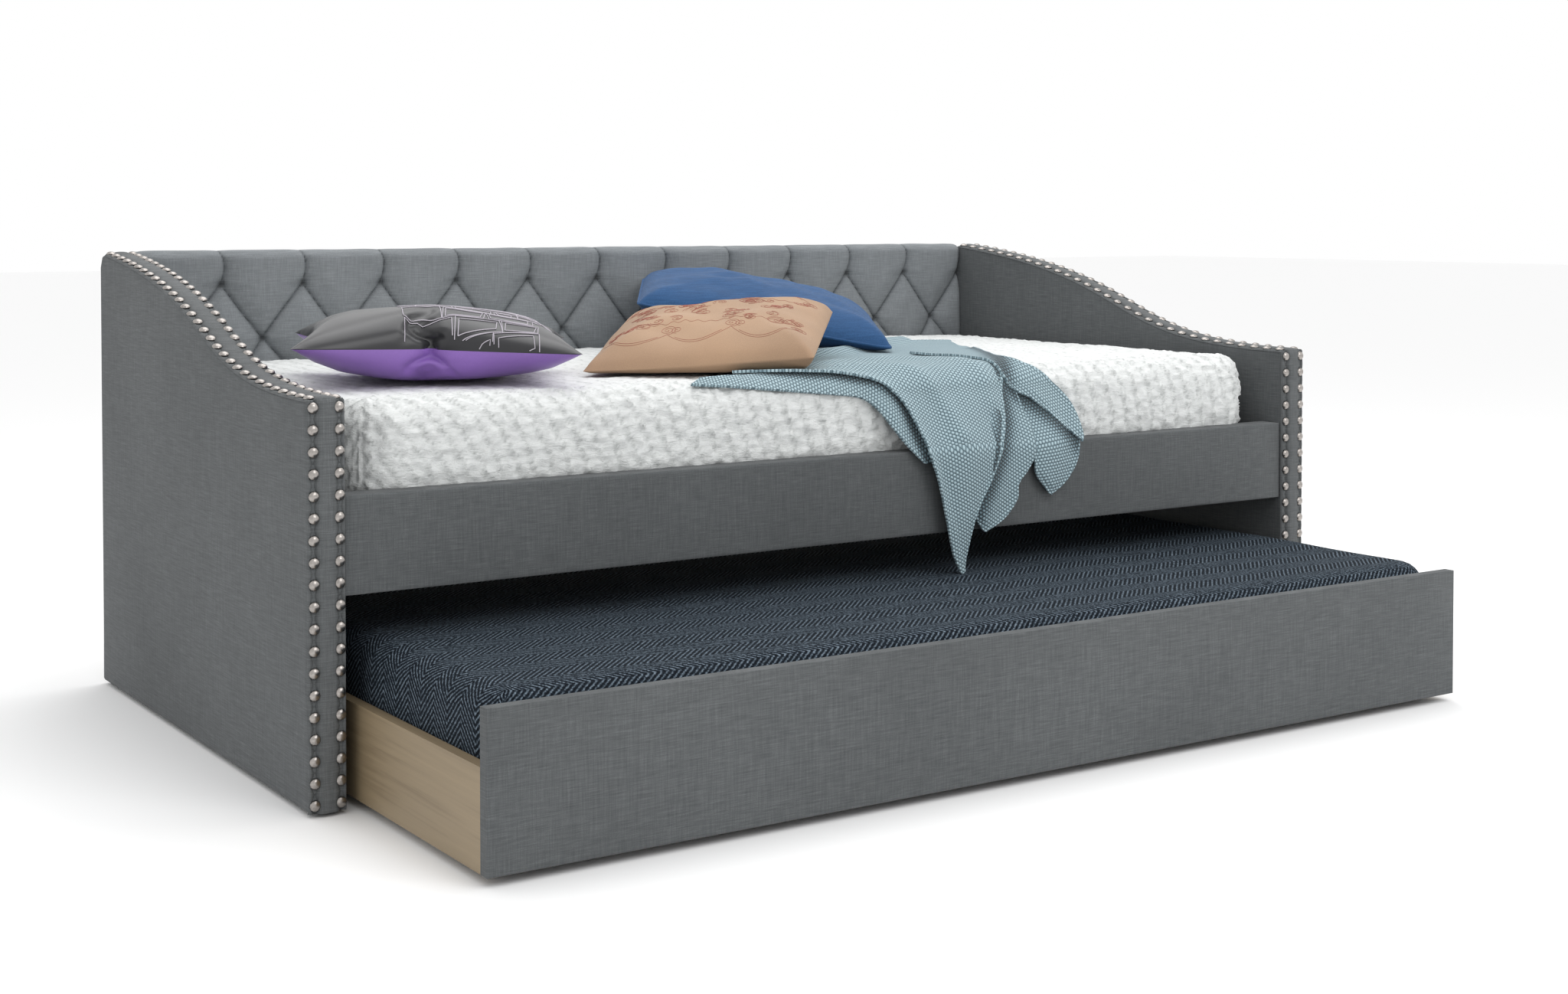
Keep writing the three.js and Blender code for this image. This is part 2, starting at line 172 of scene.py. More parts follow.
def mathNode(tree, operation, first, second=None, third=None):
    node = tree.nodes.new("ShaderNodeMath")
    node.operation = operation
    for socket, value in zip(node.inputs, (first, second, third)):
        if value is None:
            continue
        if isinstance(value, (int, float)):
            socket.default_value = value
        else:
            tree.links.new(value, socket)
    return node.outputs[0]


def blendSum(tree, *pairs):
    # a weighted sum of factors
    total = None
    for socket, weight in pairs:
        part = mathNode(tree, "MULTIPLY", socket, weight)
        total = part if total is None else mathNode(tree, "ADD", total, part)
    return total


def rampNode(tree, factor, *stops):
    node = tree.nodes.new("ShaderNodeValToRGB")
    elements = node.color_ramp.elements
    while len(elements) < len(stops):
        elements.new(0.5)
    for element, (place, colour) in zip(elements, stops):
        element.position = place
        element.color = (*colour, 1)
    tree.links.new(factor, node.inputs["Fac"])
    return node.outputs["Color"]


def bumpInto(tree, shader, height, distance, strength=1.0):
    node = tree.nodes.new("ShaderNodeBump")
    node.inputs["Distance"].default_value = distance
    node.inputs["Strength"].default_value = strength
    tree.links.new(height, node.inputs["Height"])
    if shader.inputs["Normal"].is_linked:
        tree.links.new(shader.inputs["Normal"].links[0].from_socket, node.inputs["Normal"])
    tree.links.new(node.outputs["Normal"], shader.inputs["Normal"])


def makeLinen(name, dark, middle, light, paintedFoldShade=False):
    # slubbed plain weave: short level threads, fainter upright ones and slow shade changes
    material, tree, shader = newMaterial(name, middle, 0.88, Sheen_Weight=0.06, Sheen_Roughness=0.45)
    shader.inputs["Specular IOR Level"].default_value = 0.25
    level = noiseNode(tree, coordsOf(tree, (26, 26, 640)), detail=4, roughness=0.62)
    upright = noiseNode(tree, coordsOf(tree, (520, 520, 24)), detail=3)
    cloud = noiseNode(tree, coordsOf(tree, (2.4, 2.4, 2.4)), detail=2)
    grain = noiseNode(tree, coordsOf(tree, (1100, 1100, 1100)), detail=1)
    factor = blendSum(tree, (level, 0.42), (upright, 0.26), (cloud, 0.16), (grain, 0.16))
    # painted shade: with this set, the crease attribute darkens the colour in the folds
    if paintedFoldShade:
        fold = tree.nodes.new("ShaderNodeAttribute")
        fold.attribute_name = "crease"
        factor = mathNode(tree, "SUBTRACT", factor, mathNode(tree, "MULTIPLY", fold.outputs["Fac"], 0.42))
    deep = tuple(c * 0.3 for c in dark)
    colour = rampNode(tree, factor, (0.1, deep), (0.37, dark), (0.5, middle), (0.64, light))
    tree.links.new(colour, shader.inputs["Base Color"])
    bumpInto(tree, shader, blendSum(tree, (level, 0.5), (upright, 0.5)), 0.0005, 0.4)
    bumpInto(tree, shader, grain, 0.0004, 0.5)
    return material


def makeWood(name, light, dark, along):
    # straight pale grain with a few darker lines; along is the axis that the board runs down
    material, tree, shader = newMaterial(name, light, 0.5)
    fineScale, broadScale = [170, 170, 170], [26, 26, 26]
    fineScale[along], broadScale[along] = 4, 1.2
    fine = noiseNode(tree, coordsOf(tree, fineScale), detail=4, roughness=0.6)
    broad = noiseNode(tree, coordsOf(tree, broadScale), detail=3, distortion=0.3)
    rings = mathNode(tree, "PINGPONG", mathNode(tree, "MULTIPLY", broad, 7.0), 1.0)
    factor = blendSum(tree, (fine, 0.6), (rings, 0.22), (broad, 0.25))
    paler = tuple(min(1, c * 1.12) for c in light)
    colour = rampNode(tree, factor, (0.3, dark), (0.52, light), (0.75, paler))
    tree.links.new(colour, shader.inputs["Base Color"])
    bumpInto(tree, shader, fine, 0.0005, 0.35)
    return material


def makePlain(name, colour, roughness, grain=600, depth=0.0003, **more):
    # one colour with a fine texture of its own and a slow change of shade
    material, tree, shader = newMaterial(name, colour, roughness, **more)
    cloud = noiseNode(tree, coordsOf(tree, (6, 6, 6)), detail=2)
    fine = noiseNode(tree, coordsOf(tree, (grain, grain, grain)), detail=2)
    factor = blendSum(tree, (cloud, 0.5), (fine, 0.5))
    darker = tuple(c * 0.82 for c in colour)
    lighter = tuple(min(1, c * 1.16) for c in colour)
    shade = rampNode(tree, factor, (0.35, darker), (0.5, colour), (0.65, lighter))
    tree.links.new(shade, shader.inputs["Base Color"])
    bumpInto(tree, shader, fine, depth, 0.6)
    return material


def makeHerringbone():
    # chevrons in columns across the bed: pale and dark yarns that turn back every column
    # the colours are darker than the ticking's own: painted shade for the trundle mattress lying under the bed, over
    # its chevron pattern
    look = {"column": 0.044, "pitch": 0.0102, "pale": (0.15, 0.19, 0.23), "middle": (0.016, 0.023, 0.032),
            "dark": (0.004, 0.006, 0.009)}
    material, tree, shader = newMaterial("herringboneTicking", look["dark"], 0.92)
    shader.inputs["Specular IOR Level"].default_value = 0.1
    split = tree.nodes.new("ShaderNodeSeparateXYZ")
    tree.links.new(coordsOf(tree, (1, 1, 1), "UV"), split.inputs[0])
    yarn = noiseNode(tree, coordsOf(tree, (300, 300, 300)), detail=3)
    wander = noiseNode(tree, coordsOf(tree, (14, 14, 14)), detail=2)
    folded = mathNode(tree, "PINGPONG", split.outputs["Y"], look["column"])
    along = mathNode(tree, "ADD", split.outputs["X"], folded)
    along = mathNode(tree, "ADD", along, mathNode(tree, "MULTIPLY", wander, 0.004))
    wave = mathNode(tree, "SINE", mathNode(tree, "MULTIPLY", along, 2 * math.pi / look["pitch"]))
    factor = blendSum(tree, (wave, 0.22), (yarn, 1.1))
    colour = rampNode(tree, factor, (0.3, look["dark"]), (0.6, look["middle"]), (0.9, look["pale"]))
    tree.links.new(colour, shader.inputs["Base Color"])
    bumpInto(tree, shader, factor, 0.0012, 0.6)
    return material


def makeKnit():
    # beads of seed stitch in staggered rows, on the cloth's own map
    look = {"stitch": 0.0068, "row": 0.0057, "hollowShade": (0.1, 0.16, 0.19), "yarn": (0.285, 0.4, 0.45),
            "lit": (0.48, 0.62, 0.665)}
    material, tree, shader = newMaterial("aquaKnit", look["yarn"], 0.85, Sheen_Weight=0.12, Sheen_Roughness=0.5)
    split = tree.nodes.new("ShaderNodeSeparateXYZ")
    tree.links.new(coordsOf(tree, (1, 1, 1), "UV"), split.inputs[0])
    across = mathNode(tree, "DIVIDE", split.outputs["X"], look["stitch"])
    rows = mathNode(tree, "DIVIDE", split.outputs["Y"], look["row"])
    odd = mathNode(tree, "MULTIPLY", mathNode(tree, "MODULO", mathNode(tree, "FLOOR", rows), 2.0), 0.5)
    staggered = mathNode(tree, "MULTIPLY", mathNode(tree, "ADD", across, odd), math.pi)
    bead = mathNode(tree, "ABSOLUTE", mathNode(tree, "SINE", staggered))
    ridge = mathNode(tree, "ABSOLUTE", mathNode(tree, "SINE", mathNode(tree, "MULTIPLY", rows, math.pi)))
    height = mathNode(tree, "MULTIPLY", mathNode(tree, "POWER", bead, 0.7), mathNode(tree, "POWER", ridge, 0.6))
    fuzz = noiseNode(tree, coordsOf(tree, (700, 700, 700)), detail=2)
    fold = tree.nodes.new("ShaderNodeAttribute")
    fold.attribute_name = "crease"
    # painted shade in the hollows between beads, painted highlight on their tops, and painted shade under the
    # overlapping folds from the crease attribute
    factor = blendSum(tree, (height, 0.8), (fuzz, 0.3), (fold.outputs["Fac"], -0.75))
    colour = rampNode(tree, factor, (0.0, tuple(c * 0.35 for c in look["hollowShade"])), (0.25, look["hollowShade"]), (0.62, look["yarn"]), (1.0, look["lit"]))
    tree.links.new(colour, shader.inputs["Base Color"])
    bumpInto(tree, shader, height, 0.0032, 0.9)
    return material


def makeRuched():
    # crinkled white cotton: the gathers are in the mesh, the small crinkles are here
    material, tree, shader = newMaterial("ruchedCotton", (0.86, 0.86, 0.84), 0.9, Sheen_Weight=0.2)
    shader.inputs["Subsurface Weight"].default_value = 0.12
    shader.inputs["Subsurface Radius"].default_value = (0.01, 0.01, 0.01)
    crinkle = noiseNode(tree, coordsOf(tree, (60, 110, 190)), detail=4, roughness=0.6, distortion=1.2)
    thread = noiseNode(tree, coordsOf(tree, (900, 900, 900)), detail=1)
    fold = tree.nodes.new("ShaderNodeAttribute")
    fold.attribute_name = "crease"
    # painted shade: the colour darkens where the crinkle noise is low, in the crinkles' hollows, and where the crease
    # attribute marks the gathers' valleys
    factor = blendSum(tree, (crinkle, 1.0), (fold.outputs["Fac"], -0.3))
    colour = rampNode(tree, factor, (0.0, (0.4, 0.415, 0.41)), (0.32, (0.62, 0.635, 0.628)), (0.52, (0.685, 0.7, 0.695)))
    tree.links.new(colour, shader.inputs["Base Color"])
    bumpInto(tree, shader, crinkle, 0.0035, 0.7)
    bumpInto(tree, shader, thread, 0.0004, 0.4)
    return material


say("materials")
greyLinen = makeLinen("greyLinen", (0.066, 0.071, 0.074), (0.092, 0.098, 0.101), (0.131, 0.139, 0.143))
# painted shade round the nails and along the nail channels, from the crease attribute
facingLinen = makeLinen("facingLinen", (0.075, 0.08, 0.082), (0.104, 0.11, 0.113), (0.15, 0.158, 0.162), paintedFoldShade=True)
# a paler copy of the same linen: painted light for the stronger light falling on the tufted back, with painted shade in
# its creases
litTuftedLinen = makeLinen("litTuftedLinen", (0.145, 0.157, 0.166), (0.191, 0.205, 0.215), (0.253, 0.269, 0.28), paintedFoldShade=True)
herringbone = makeHerringbone()
aquaKnit = makeKnit()
ruchedCotton = makeRuched()
pewter = makePlain("pewterNails", (0.36, 0.335, 0.315), 0.3, grain=300, depth=0.0002, Metallic=1.0)
paleBoard = makeWood("paleBoard", (0.245, 0.186, 0.112), (0.18, 0.132, 0.076), along=1)
crossBoard = makeWood("crossBoard", (0.245, 0.186, 0.112), (0.18, 0.132, 0.076), along=0)
plyPanel = makeWood("plyPanel", (0.3, 0.22, 0.135), (0.2, 0.14, 0.08), along=0)
darkSteel = makePlain("darkSteel", (0.09, 0.095, 0.1), 0.4, grain=500, Metallic=0.9)
blackPlastic = makePlain("blackPlastic", (0.014, 0.014, 0.016), 0.5, grain=900)
ticking = makePlain("mattressTicking", (0.72, 0.72, 0.7), 0.9, grain=500, depth=0.0006)
charcoalSatin = makePlain("charcoalSatin", (0.014, 0.0142, 0.0165), 0.33, grain=1200, depth=0.0001, Sheen_Weight=0.06)
violetSatin = makePlain("violetSatin", (0.235, 0.12, 0.42), 0.4, grain=1200, depth=0.0001, Sheen_Weight=0.05)
paleThread = makePlain("paleThread", (0.42, 0.39, 0.44), 0.6, grain=1500)
tanCotton = makePlain("tanCotton", (0.34, 0.216, 0.131), 0.72, grain=900, Sheen_Weight=0.04)
russetThread = makePlain("russetThread", (0.33, 0.1, 0.066), 0.6, grain=1500)
navyCotton = makeLinen("navyCotton", (0.015, 0.05, 0.126), (0.022, 0.072, 0.176), (0.034, 0.1, 0.235))


# ---- arms: a padded core, a facing strip along the front and the sweep, and two rows of nails
armShape = {
    "sweep": ((738, 800), (56, 738), (236, 603), (-312, 604)),  # mm, the curve's ends and handles
    "rearRadius": 30, "foot": 6, "edge": 0.006, "nailInset": 9.5, "channel": 3.4, "crown": 3.4,
    "frontNails": 19, "sweepNails": 31, "nailRadius": 0.0086, "nailHeight": 0.0054,
}


def sweepPoint(t):
    (y0, z0), (y1, z1), (y2, z2), (y3, z3) = armShape["sweep"]
    a, b, c, d = (1 - t) ** 3, 3 * t * (1 - t) ** 2, 3 * t * t * (1 - t), t ** 3
    return a * y0 + b * y1 + c * y2 + d * y3, a * z0 + b * z1 + c * z2 + d * z3


sweepTable = np.array([sweepPoint(1 - i / 400) for i in range(401)])
rearFace, frontFace = sweepTable[-1, 0], sweepTable[0, 0]


def armTop(y):
    # height of the arm's top edge at a depth y, with its rounded rear corner
    r = armShape["rearRadius"]
    z = float(np.interp(y, sweepTable[:, 0], sweepTable[:, 1]))
    past = max(0.0, y - (rearFace - r))
    return z - (r - math.sqrt(max(0.0, r * r - past * past)))


def bandPath():
    # the facing's line: up the front face, round its top corner and back along the sweep
    line = [(frontFace, z) for z in np.arange(armShape["foot"], 599, 4.0)]
    line += [(frontFace + 1.2, 602), (frontFace + 4, 603.6)]
    line += [(y, armTop(y)) for y in np.arange(frontFace + 8, rearFace - 30, 4.0)]
    return np.array(line)


def pathFrames(line):
    # length along the line and the outward normal at each of its points
    steps = np.diff(line, axis=0)
    length = np.concatenate([[0], np.cumsum(np.hypot(*steps.T))])
    tangent = np.gradient(line, axis=0)
    tangent /= np.linalg.norm(tangent, axis=1)[:, None]
    return length, np.stack([-tangent[:, 1], tangent[:, 0]], axis=1)


band = bandPath()
bandLength, bandNormal = pathFrames(band)
frontLength = 598.0
frontSpots = np.linspace(12, frontLength - 13, armShape["frontNails"])
sweepSpots = np.linspace(frontLength + 14, bandLength[-1] - 6, armShape["sweepNails"])
nailSpots = np.concatenate([frontSpots, sweepSpots])


def makeArmCore(side, middleX):
    bpy.ops.mesh.primitive_grid_add(x_subdivisions=72, y_subdivisions=40, size=1, location=(0, 0, 0))
    piece = named(side + "ArmPadding")
    points = pointsOf(piece)
    lift = 1.6
    y = frontFace + lift + (points[:, 0] + 0.5) * (rearFace - frontFace - lift)
    top = np.array([armTop(v) for v in y]) - lift
    z = armShape["foot"] + (points[:, 1] + 0.5) * (top - armShape["foot"])
    halfWide = 28.6
    x = np.full(len(y), middleX - halfWide)
    setPoints(piece, np.stack([x, y, z], axis=1) / 1000)
    pick(piece)
    bpy.ops.object.mode_set(mode="EDIT")
    bpy.ops.mesh.select_all(action="SELECT")
    bpy.ops.mesh.extrude_region_move(TRANSFORM_OT_translate={"value": (2 * halfWide / 1000, 0, 0)})
    bpy.ops.mesh.select_all(action="SELECT")
    bpy.ops.mesh.normals_make_consistent(inside=False)
    bpy.ops.object.mode_set(mode="OBJECT")
    addModifier(piece, "BEVEL", width=armShape["edge"], segments=4, limit_method="ANGLE", angle_limit=math.radians(50))
    applyAll(piece)
    points = pointsOf(piece)
    flat = np.abs(np.abs(points[:, 0] * 1000 - middleX) - halfWide) < 0.01
    swell = noiseAt(points[flat], (3.5, 4, 4), 3.0) * 0.0011 + noiseAt(points[flat], (1, 26, 9), 7.0) * 0.0003
    points[flat, 0] += swell
    setPoints(piece, points)
    bpy.ops.object.shade_smooth_by_angle(angle=math.radians(40))
    return piece


def makeArmBand(side, middleX):
    across = np.concatenate([[-29.3, -29.0, -28.2], np.linspace(-26.5, 26.5, 29), [28.2, 29.0, 29.3]])
    bpy.ops.mesh.primitive_grid_add(x_subdivisions=len(across) - 1, y_subdivisions=len(band) - 1, size=1)
    piece = named(side + "ArmFacing")
    column = np.tile(np.arange(len(across)), len(band))
    row = np.repeat(np.arange(len(band)), len(across))
    s, length = across[column], bandLength[row]
    inset = 29 - armShape["nailInset"]
    fromRow = np.abs(np.abs(s) - inset)
    relief = -armShape["channel"] * np.exp(-(fromRow / 4.2) ** 2)
    relief += armShape["crown"] * np.cos(np.clip(s / inset, -1, 1) * math.pi / 2) ** 0.8
    relief -= np.where(np.abs(s) > 26, (np.abs(s) - 26) ** 2 * 0.42, 0)
    nearest = np.min(np.abs(length[:, None] - nailSpots[None, :]), axis=1)
    relief -= 2.0 * np.exp(-((nearest / 7.5) ** 2 + (fromRow / 6) ** 2))
    relief += 1.5 * np.exp(-(fromRow / 6) ** 2) * smoothStep(7, 15, nearest)
    wobble = noiseAt(np.stack([s * 0.02, length * 0.035, np.full(len(s), middleX * 0.1)], axis=1), 1.0)
    relief += wobble * 0.7 * (1 - smoothStep(22, 27, np.abs(s)))
    # painted shade round each nail and along the two nail channels, for the facing linen to darken
    storeFoldShade(piece, 0.75 * np.exp(-((nearest / 9) ** 2 + (fromRow / 7) ** 2)) + 0.45 * np.exp(-(fromRow / 4) ** 2))
    place = band[row] + bandNormal[row] * relief[:, None]
    setPoints(piece, np.stack([middleX + s, place[:, 0], place[:, 1]], axis=1) / 1000)
    pick(piece)
    addModifier(piece, "SOLIDIFY", thickness=0.0025, offset=-1)
    applyAll(piece)
    bpy.ops.object.mode_set(mode="EDIT")
    bpy.ops.mesh.select_all(action="SELECT")
    bpy.ops.mesh.normals_make_consistent(inside=False)
    bpy.ops.object.mode_set(mode="OBJECT")
    bpy.ops.object.shade_smooth_by_angle(angle=math.radians(60))
    return piece


def makeNailShape():
    # one domed nail head standing on +Z, its skirt turned a little under
    bpy.ops.mesh.primitive_uv_sphere_add(segments=12, ring_count=8, radius=armShape["nailRadius"], location=(0, 0, 0))
    nail = bpy.context.object
    bpy.ops.object.mode_set(mode="EDIT")
    bpy.ops.mesh.select_all(action="SELECT")
    bpy.ops.mesh.bisect(plane_co=(0, 0, 0.0004), plane_no=(0, 0, 1), clear_inner=True, use_fill=True)
    bpy.ops.mesh.select_all(action="SELECT")
    bpy.ops.transform.resize(value=(1, 1, armShape["nailHeight"] / armShape["nailRadius"]))
    bpy.ops.object.mode_set(mode="OBJECT")
    shape = (pointsOf(nail), [list(p.vertices) for p in nail.data.polygons])
    bpy.data.objects.remove(nail)
    return shape


nailPoints, nailFaces = makeNailShape()


def makeNailRow(name, x):
    # copies of the nail down one edge, each turned to the face it is driven into
    points, faces = [], []
    for number, spot in enumerate(nailSpots):
        y = np.interp(spot, bandLength, band[:, 0])
        z = np.interp(spot, bandLength, band[:, 1])
        ny = np.interp(spot, bandLength, bandNormal[:, 0])
        nz = np.interp(spot, bandLength, bandNormal[:, 1])
        stray = (noise.noise(Vector((number * 1.7, x, 0.3))), noise.noise(Vector((number * 1.7, x, 5.3))))
        turn = Euler((math.atan2(-ny, nz) + 0.12 * stray[0], 0.12 * stray[1], 0)).to_matrix()
        base = np.array([x + 0.7 * stray[1], y - ny * 2.4, z - nz * 2.4]) / 1000
        start = len(points) * len(nailPoints)
        points.append(nailPoints @ np.array(turn).T + base)
        faces += [[v + start for v in face] for face in nailFaces]
    mesh = bpy.data.meshes.new(name)
    mesh.from_pydata(np.concatenate(points).tolist(), [], faces)
    piece = bpy.data.objects.new(name, mesh)
    scene.collection.objects.link(piece)
    pick(piece)
    bpy.ops.object.shade_smooth()
    return piece


say("arms")
for side, sign in (("left", -1), ("right", 1)):
    middleX = sign * 994
    core = makeArmCore(side, middleX)
    dress(core, "daybed", "grey_linen", greyLinen, standsFor=(side + "_arm_upholstery",))
    dress(makeArmBand(side, middleX), "daybed", "grey_linen", facingLinen)
    for edge, way in (("inner", -sign), ("outer", sign)):
        row = makeNailRow(side + edge.capitalize() + "Nails", middleX + way * (29 - armShape["nailInset"]))
        dress(row, "daybed", "pewter_nails", pewter, standsFor=(side + "_" + edge + "_nail_trim",))


# ---- tufted back: one padded sheet over the board, pulled in at each tuft and pleated up to the top
backPad = {
    "pitch": 161.0, "firstRow": 737.0, "rowDrop": 104.0, "front": 695.0, "top": 801.0, "rear": 735.0,
    "foot": 470.0, "radius": 19.0, "tuft": 8.0, "shoulder": 11.0, "crease": 3.8,
}


def tuftDepth(x, z):
    # how far the cloth is pulled into the pad, in mm, at a place on its front, and how dark the painted shade is there,
    # 0 to 1, along the creases and pleats and round each tuft
    w, first, drop = backPad["pitch"], backPad["firstRow"], backPad["rowDrop"]
    bow = 3.2 * np.sin(2 * math.pi * (first - z) / (2 * drop))
    across, down = (x + bow) / w, (first - z) / (2 * drop)
    unit = 1 / math.hypot(1 / w, 1 / (2 * drop))
    a, b = across + down, across - down
    lattice = np.minimum(np.abs(a - np.round(a)), np.abs(b - np.round(b))) * unit
    below = backPad["crease"] * np.exp(-lattice / 2.4) + backPad["shoulder"] * (1 - np.clip(lattice / 48, 0, 1)) ** 2
    rise = np.clip((z - first) / 64, 0, 1.4)
    pleat = 6.0 * np.sin(math.pi * rise) - 3.0 * rise
    offset = x - np.round((x - pleat) / w) * w - pleat
    gap = np.abs(offset)
    leftSide = 5.0 * np.exp(-gap / 2.0) + 8.0 * (1 - np.clip(gap / 30, 0, 1)) ** 2
    rightSide = 5.0 * np.exp(-gap / 2.6) + 11.0 * (1 - np.clip(gap / 46, 0, 1)) ** 2
    above = np.where(offset < 0, leftSide, rightSide) * (1 - 0.55 * smoothStep(first + 10, backPad["top"], z))
    mix = smoothStep(first - 7, first + 7, z)
    depth = below * (1 - mix) + above * mix
    level = np.round((first - z) / drop)
    shift = np.where(level % 2 == 0, 0.0, 0.5)
    nearX = x - (np.round(x / w - shift) + shift) * w
    nearZ = z - (first - level * drop)
    radius = np.hypot(nearX, nearZ)
    # painted shade: dark lines along the creases below the tufts and the pleats above them, and a dark spot round each
    # tuft
    line = np.exp(-lattice / 2.1) * (1 - mix) + np.exp(-gap / 2.1) * mix
    line = np.maximum(0.9 * line, np.exp(-(radius / 9) ** 2))
    return depth + backPad["tuft"] * np.exp(-(radius / 20) ** 1.15), line


def makeBackPad():
    front, top, rear, radius = backPad["front"], backPad["top"], backPad["rear"], backPad["radius"]
    line = [(front, z, 0.0) for z in np.linspace(backPad["foot"], 556, 8)]
    line += [(front, z, 0.0) for z in np.arange(560, top - radius, 3.0)]
    for k in range(1, 13):
        angle = math.pi / 2 * k / 12
        line.append((front + radius - radius * math.cos(angle), top - radius + radius * math.sin(angle), angle))
    line += [(front + radius + 6, top, math.pi / 2), (rear - 5, top, math.pi / 2), (rear - 1.5, top - 1.5, 2.3)]
    line += [(rear, top - 5, math.pi), (rear, top - 16, math.pi)]
    line = np.array(line)
    across = np.linspace(-964.5, 964.5, 680)
    bpy.ops.mesh.primitive_grid_add(x_subdivisions=len(across) - 1, y_subdivisions=len(line) - 1, size=1)
    piece = named("tuftedBack")
    column = np.tile(np.arange(len(across)), len(line))
    row = np.repeat(np.arange(len(line)), len(across))
    x, y, z, lean = across[column], line[row, 0], line[row, 1], line[row, 2]
    along = z + np.where(lean > 0, (lean / (math.pi / 2)) * 6, 0)
    depth, crease = tuftDepth(x, np.minimum(along, 806))
    depth *= 1 - 0.72 * np.clip(lean / (math.pi / 2), 0, 1)
    depth = np.where(lean > 2, 0, depth)
    depth += noiseAt(np.stack([x, y, z], axis=1), 0.012, 2.0) * 0.9
    endGap = 964.5 - np.abs(x)
    depth += 5 * np.exp(-endGap / 5)
    y = y + depth * np.cos(np.clip(lean, 0, math.pi / 2))
    z = z - depth * np.sin(np.clip(lean, 0, math.pi / 2)) * np.where(lean > 2, 0, 1)
    y = np.where(lean > 2, np.minimum(y, rear), y)
    setPoints(piece, np.stack([x, y, z], axis=1) / 1000)
    # painted shade in the creases, pleats and tufts, none on the rear of the top
    storeFoldShade(piece, np.where(lean > 2, 0, crease))
    pick(piece)
    if piece.data.polygons[40].normal.y > 0:
        piece.data.flip_normals()
    bpy.ops.object.shade_smooth()
    return piece


say("tufted back")
tuftedBack = makeBackPad()
dress(tuftedBack, "daybed", "grey_linen", litTuftedLinen, standsFor=("back_tufted_pad",))


# ---- flat upholstered pieces: padded boxes with softened edges
def makePaddedBoard(name, nodeName, body, edge, swell, grow=0.0):
    low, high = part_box(nodeName)
    size, middle = high - low, (high + low) / 2
    bpy.ops.mesh.primitive_cube_add(size=1, location=middle, scale=size)
    piece = named(name)
    settle(piece)
    bpy.ops.object.mode_set(mode="EDIT")
    bpy.ops.mesh.select_all(action="SELECT")
    bpy.ops.mesh.subdivide(number_cuts=24)
    bpy.ops.object.mode_set(mode="OBJECT")
    addModifier(piece, "BEVEL", width=edge, segments=4, limit_method="ANGLE", angle_limit=math.radians(60))
    applyAll(piece)
    points = pointsOf(piece)
    thin = min(range(3), key=lambda axis: size[axis])
    outer = np.abs(points[:, thin] - low[thin]) < 1e-5
    shares = [(points[:, axis] - low[axis]) / size[axis] for axis in range(3) if axis != thin]
    rise = np.sin(np.clip(shares[0], 0, 1) * math.pi) ** 0.4 * np.sin(np.clip(shares[1], 0, 1) * math.pi) ** 0.6
    points[outer, thin] -= swell * rise[outer] + 0.0004 * noiseAt(points[outer], (5, 5, 12))
    setPoints(piece, points)
    bpy.ops.object.shade_smooth_by_angle(angle=math.radians(50))
    return dress(piece, body, "grey_linen", greyLinen, standsFor=(nodeName,))


say("rail and trundle front")
makePaddedBoard("frontRail", "front_rail_upholstery", "daybed", 0.008, 0.0022)
makePaddedBoard("trundleFront", "trundle_front_upholstery", "trundle", 0.0045, 0.0016)
makePaddedBoard("backCover", "back_rear_cover", "daybed", 0.0009, 0.0)


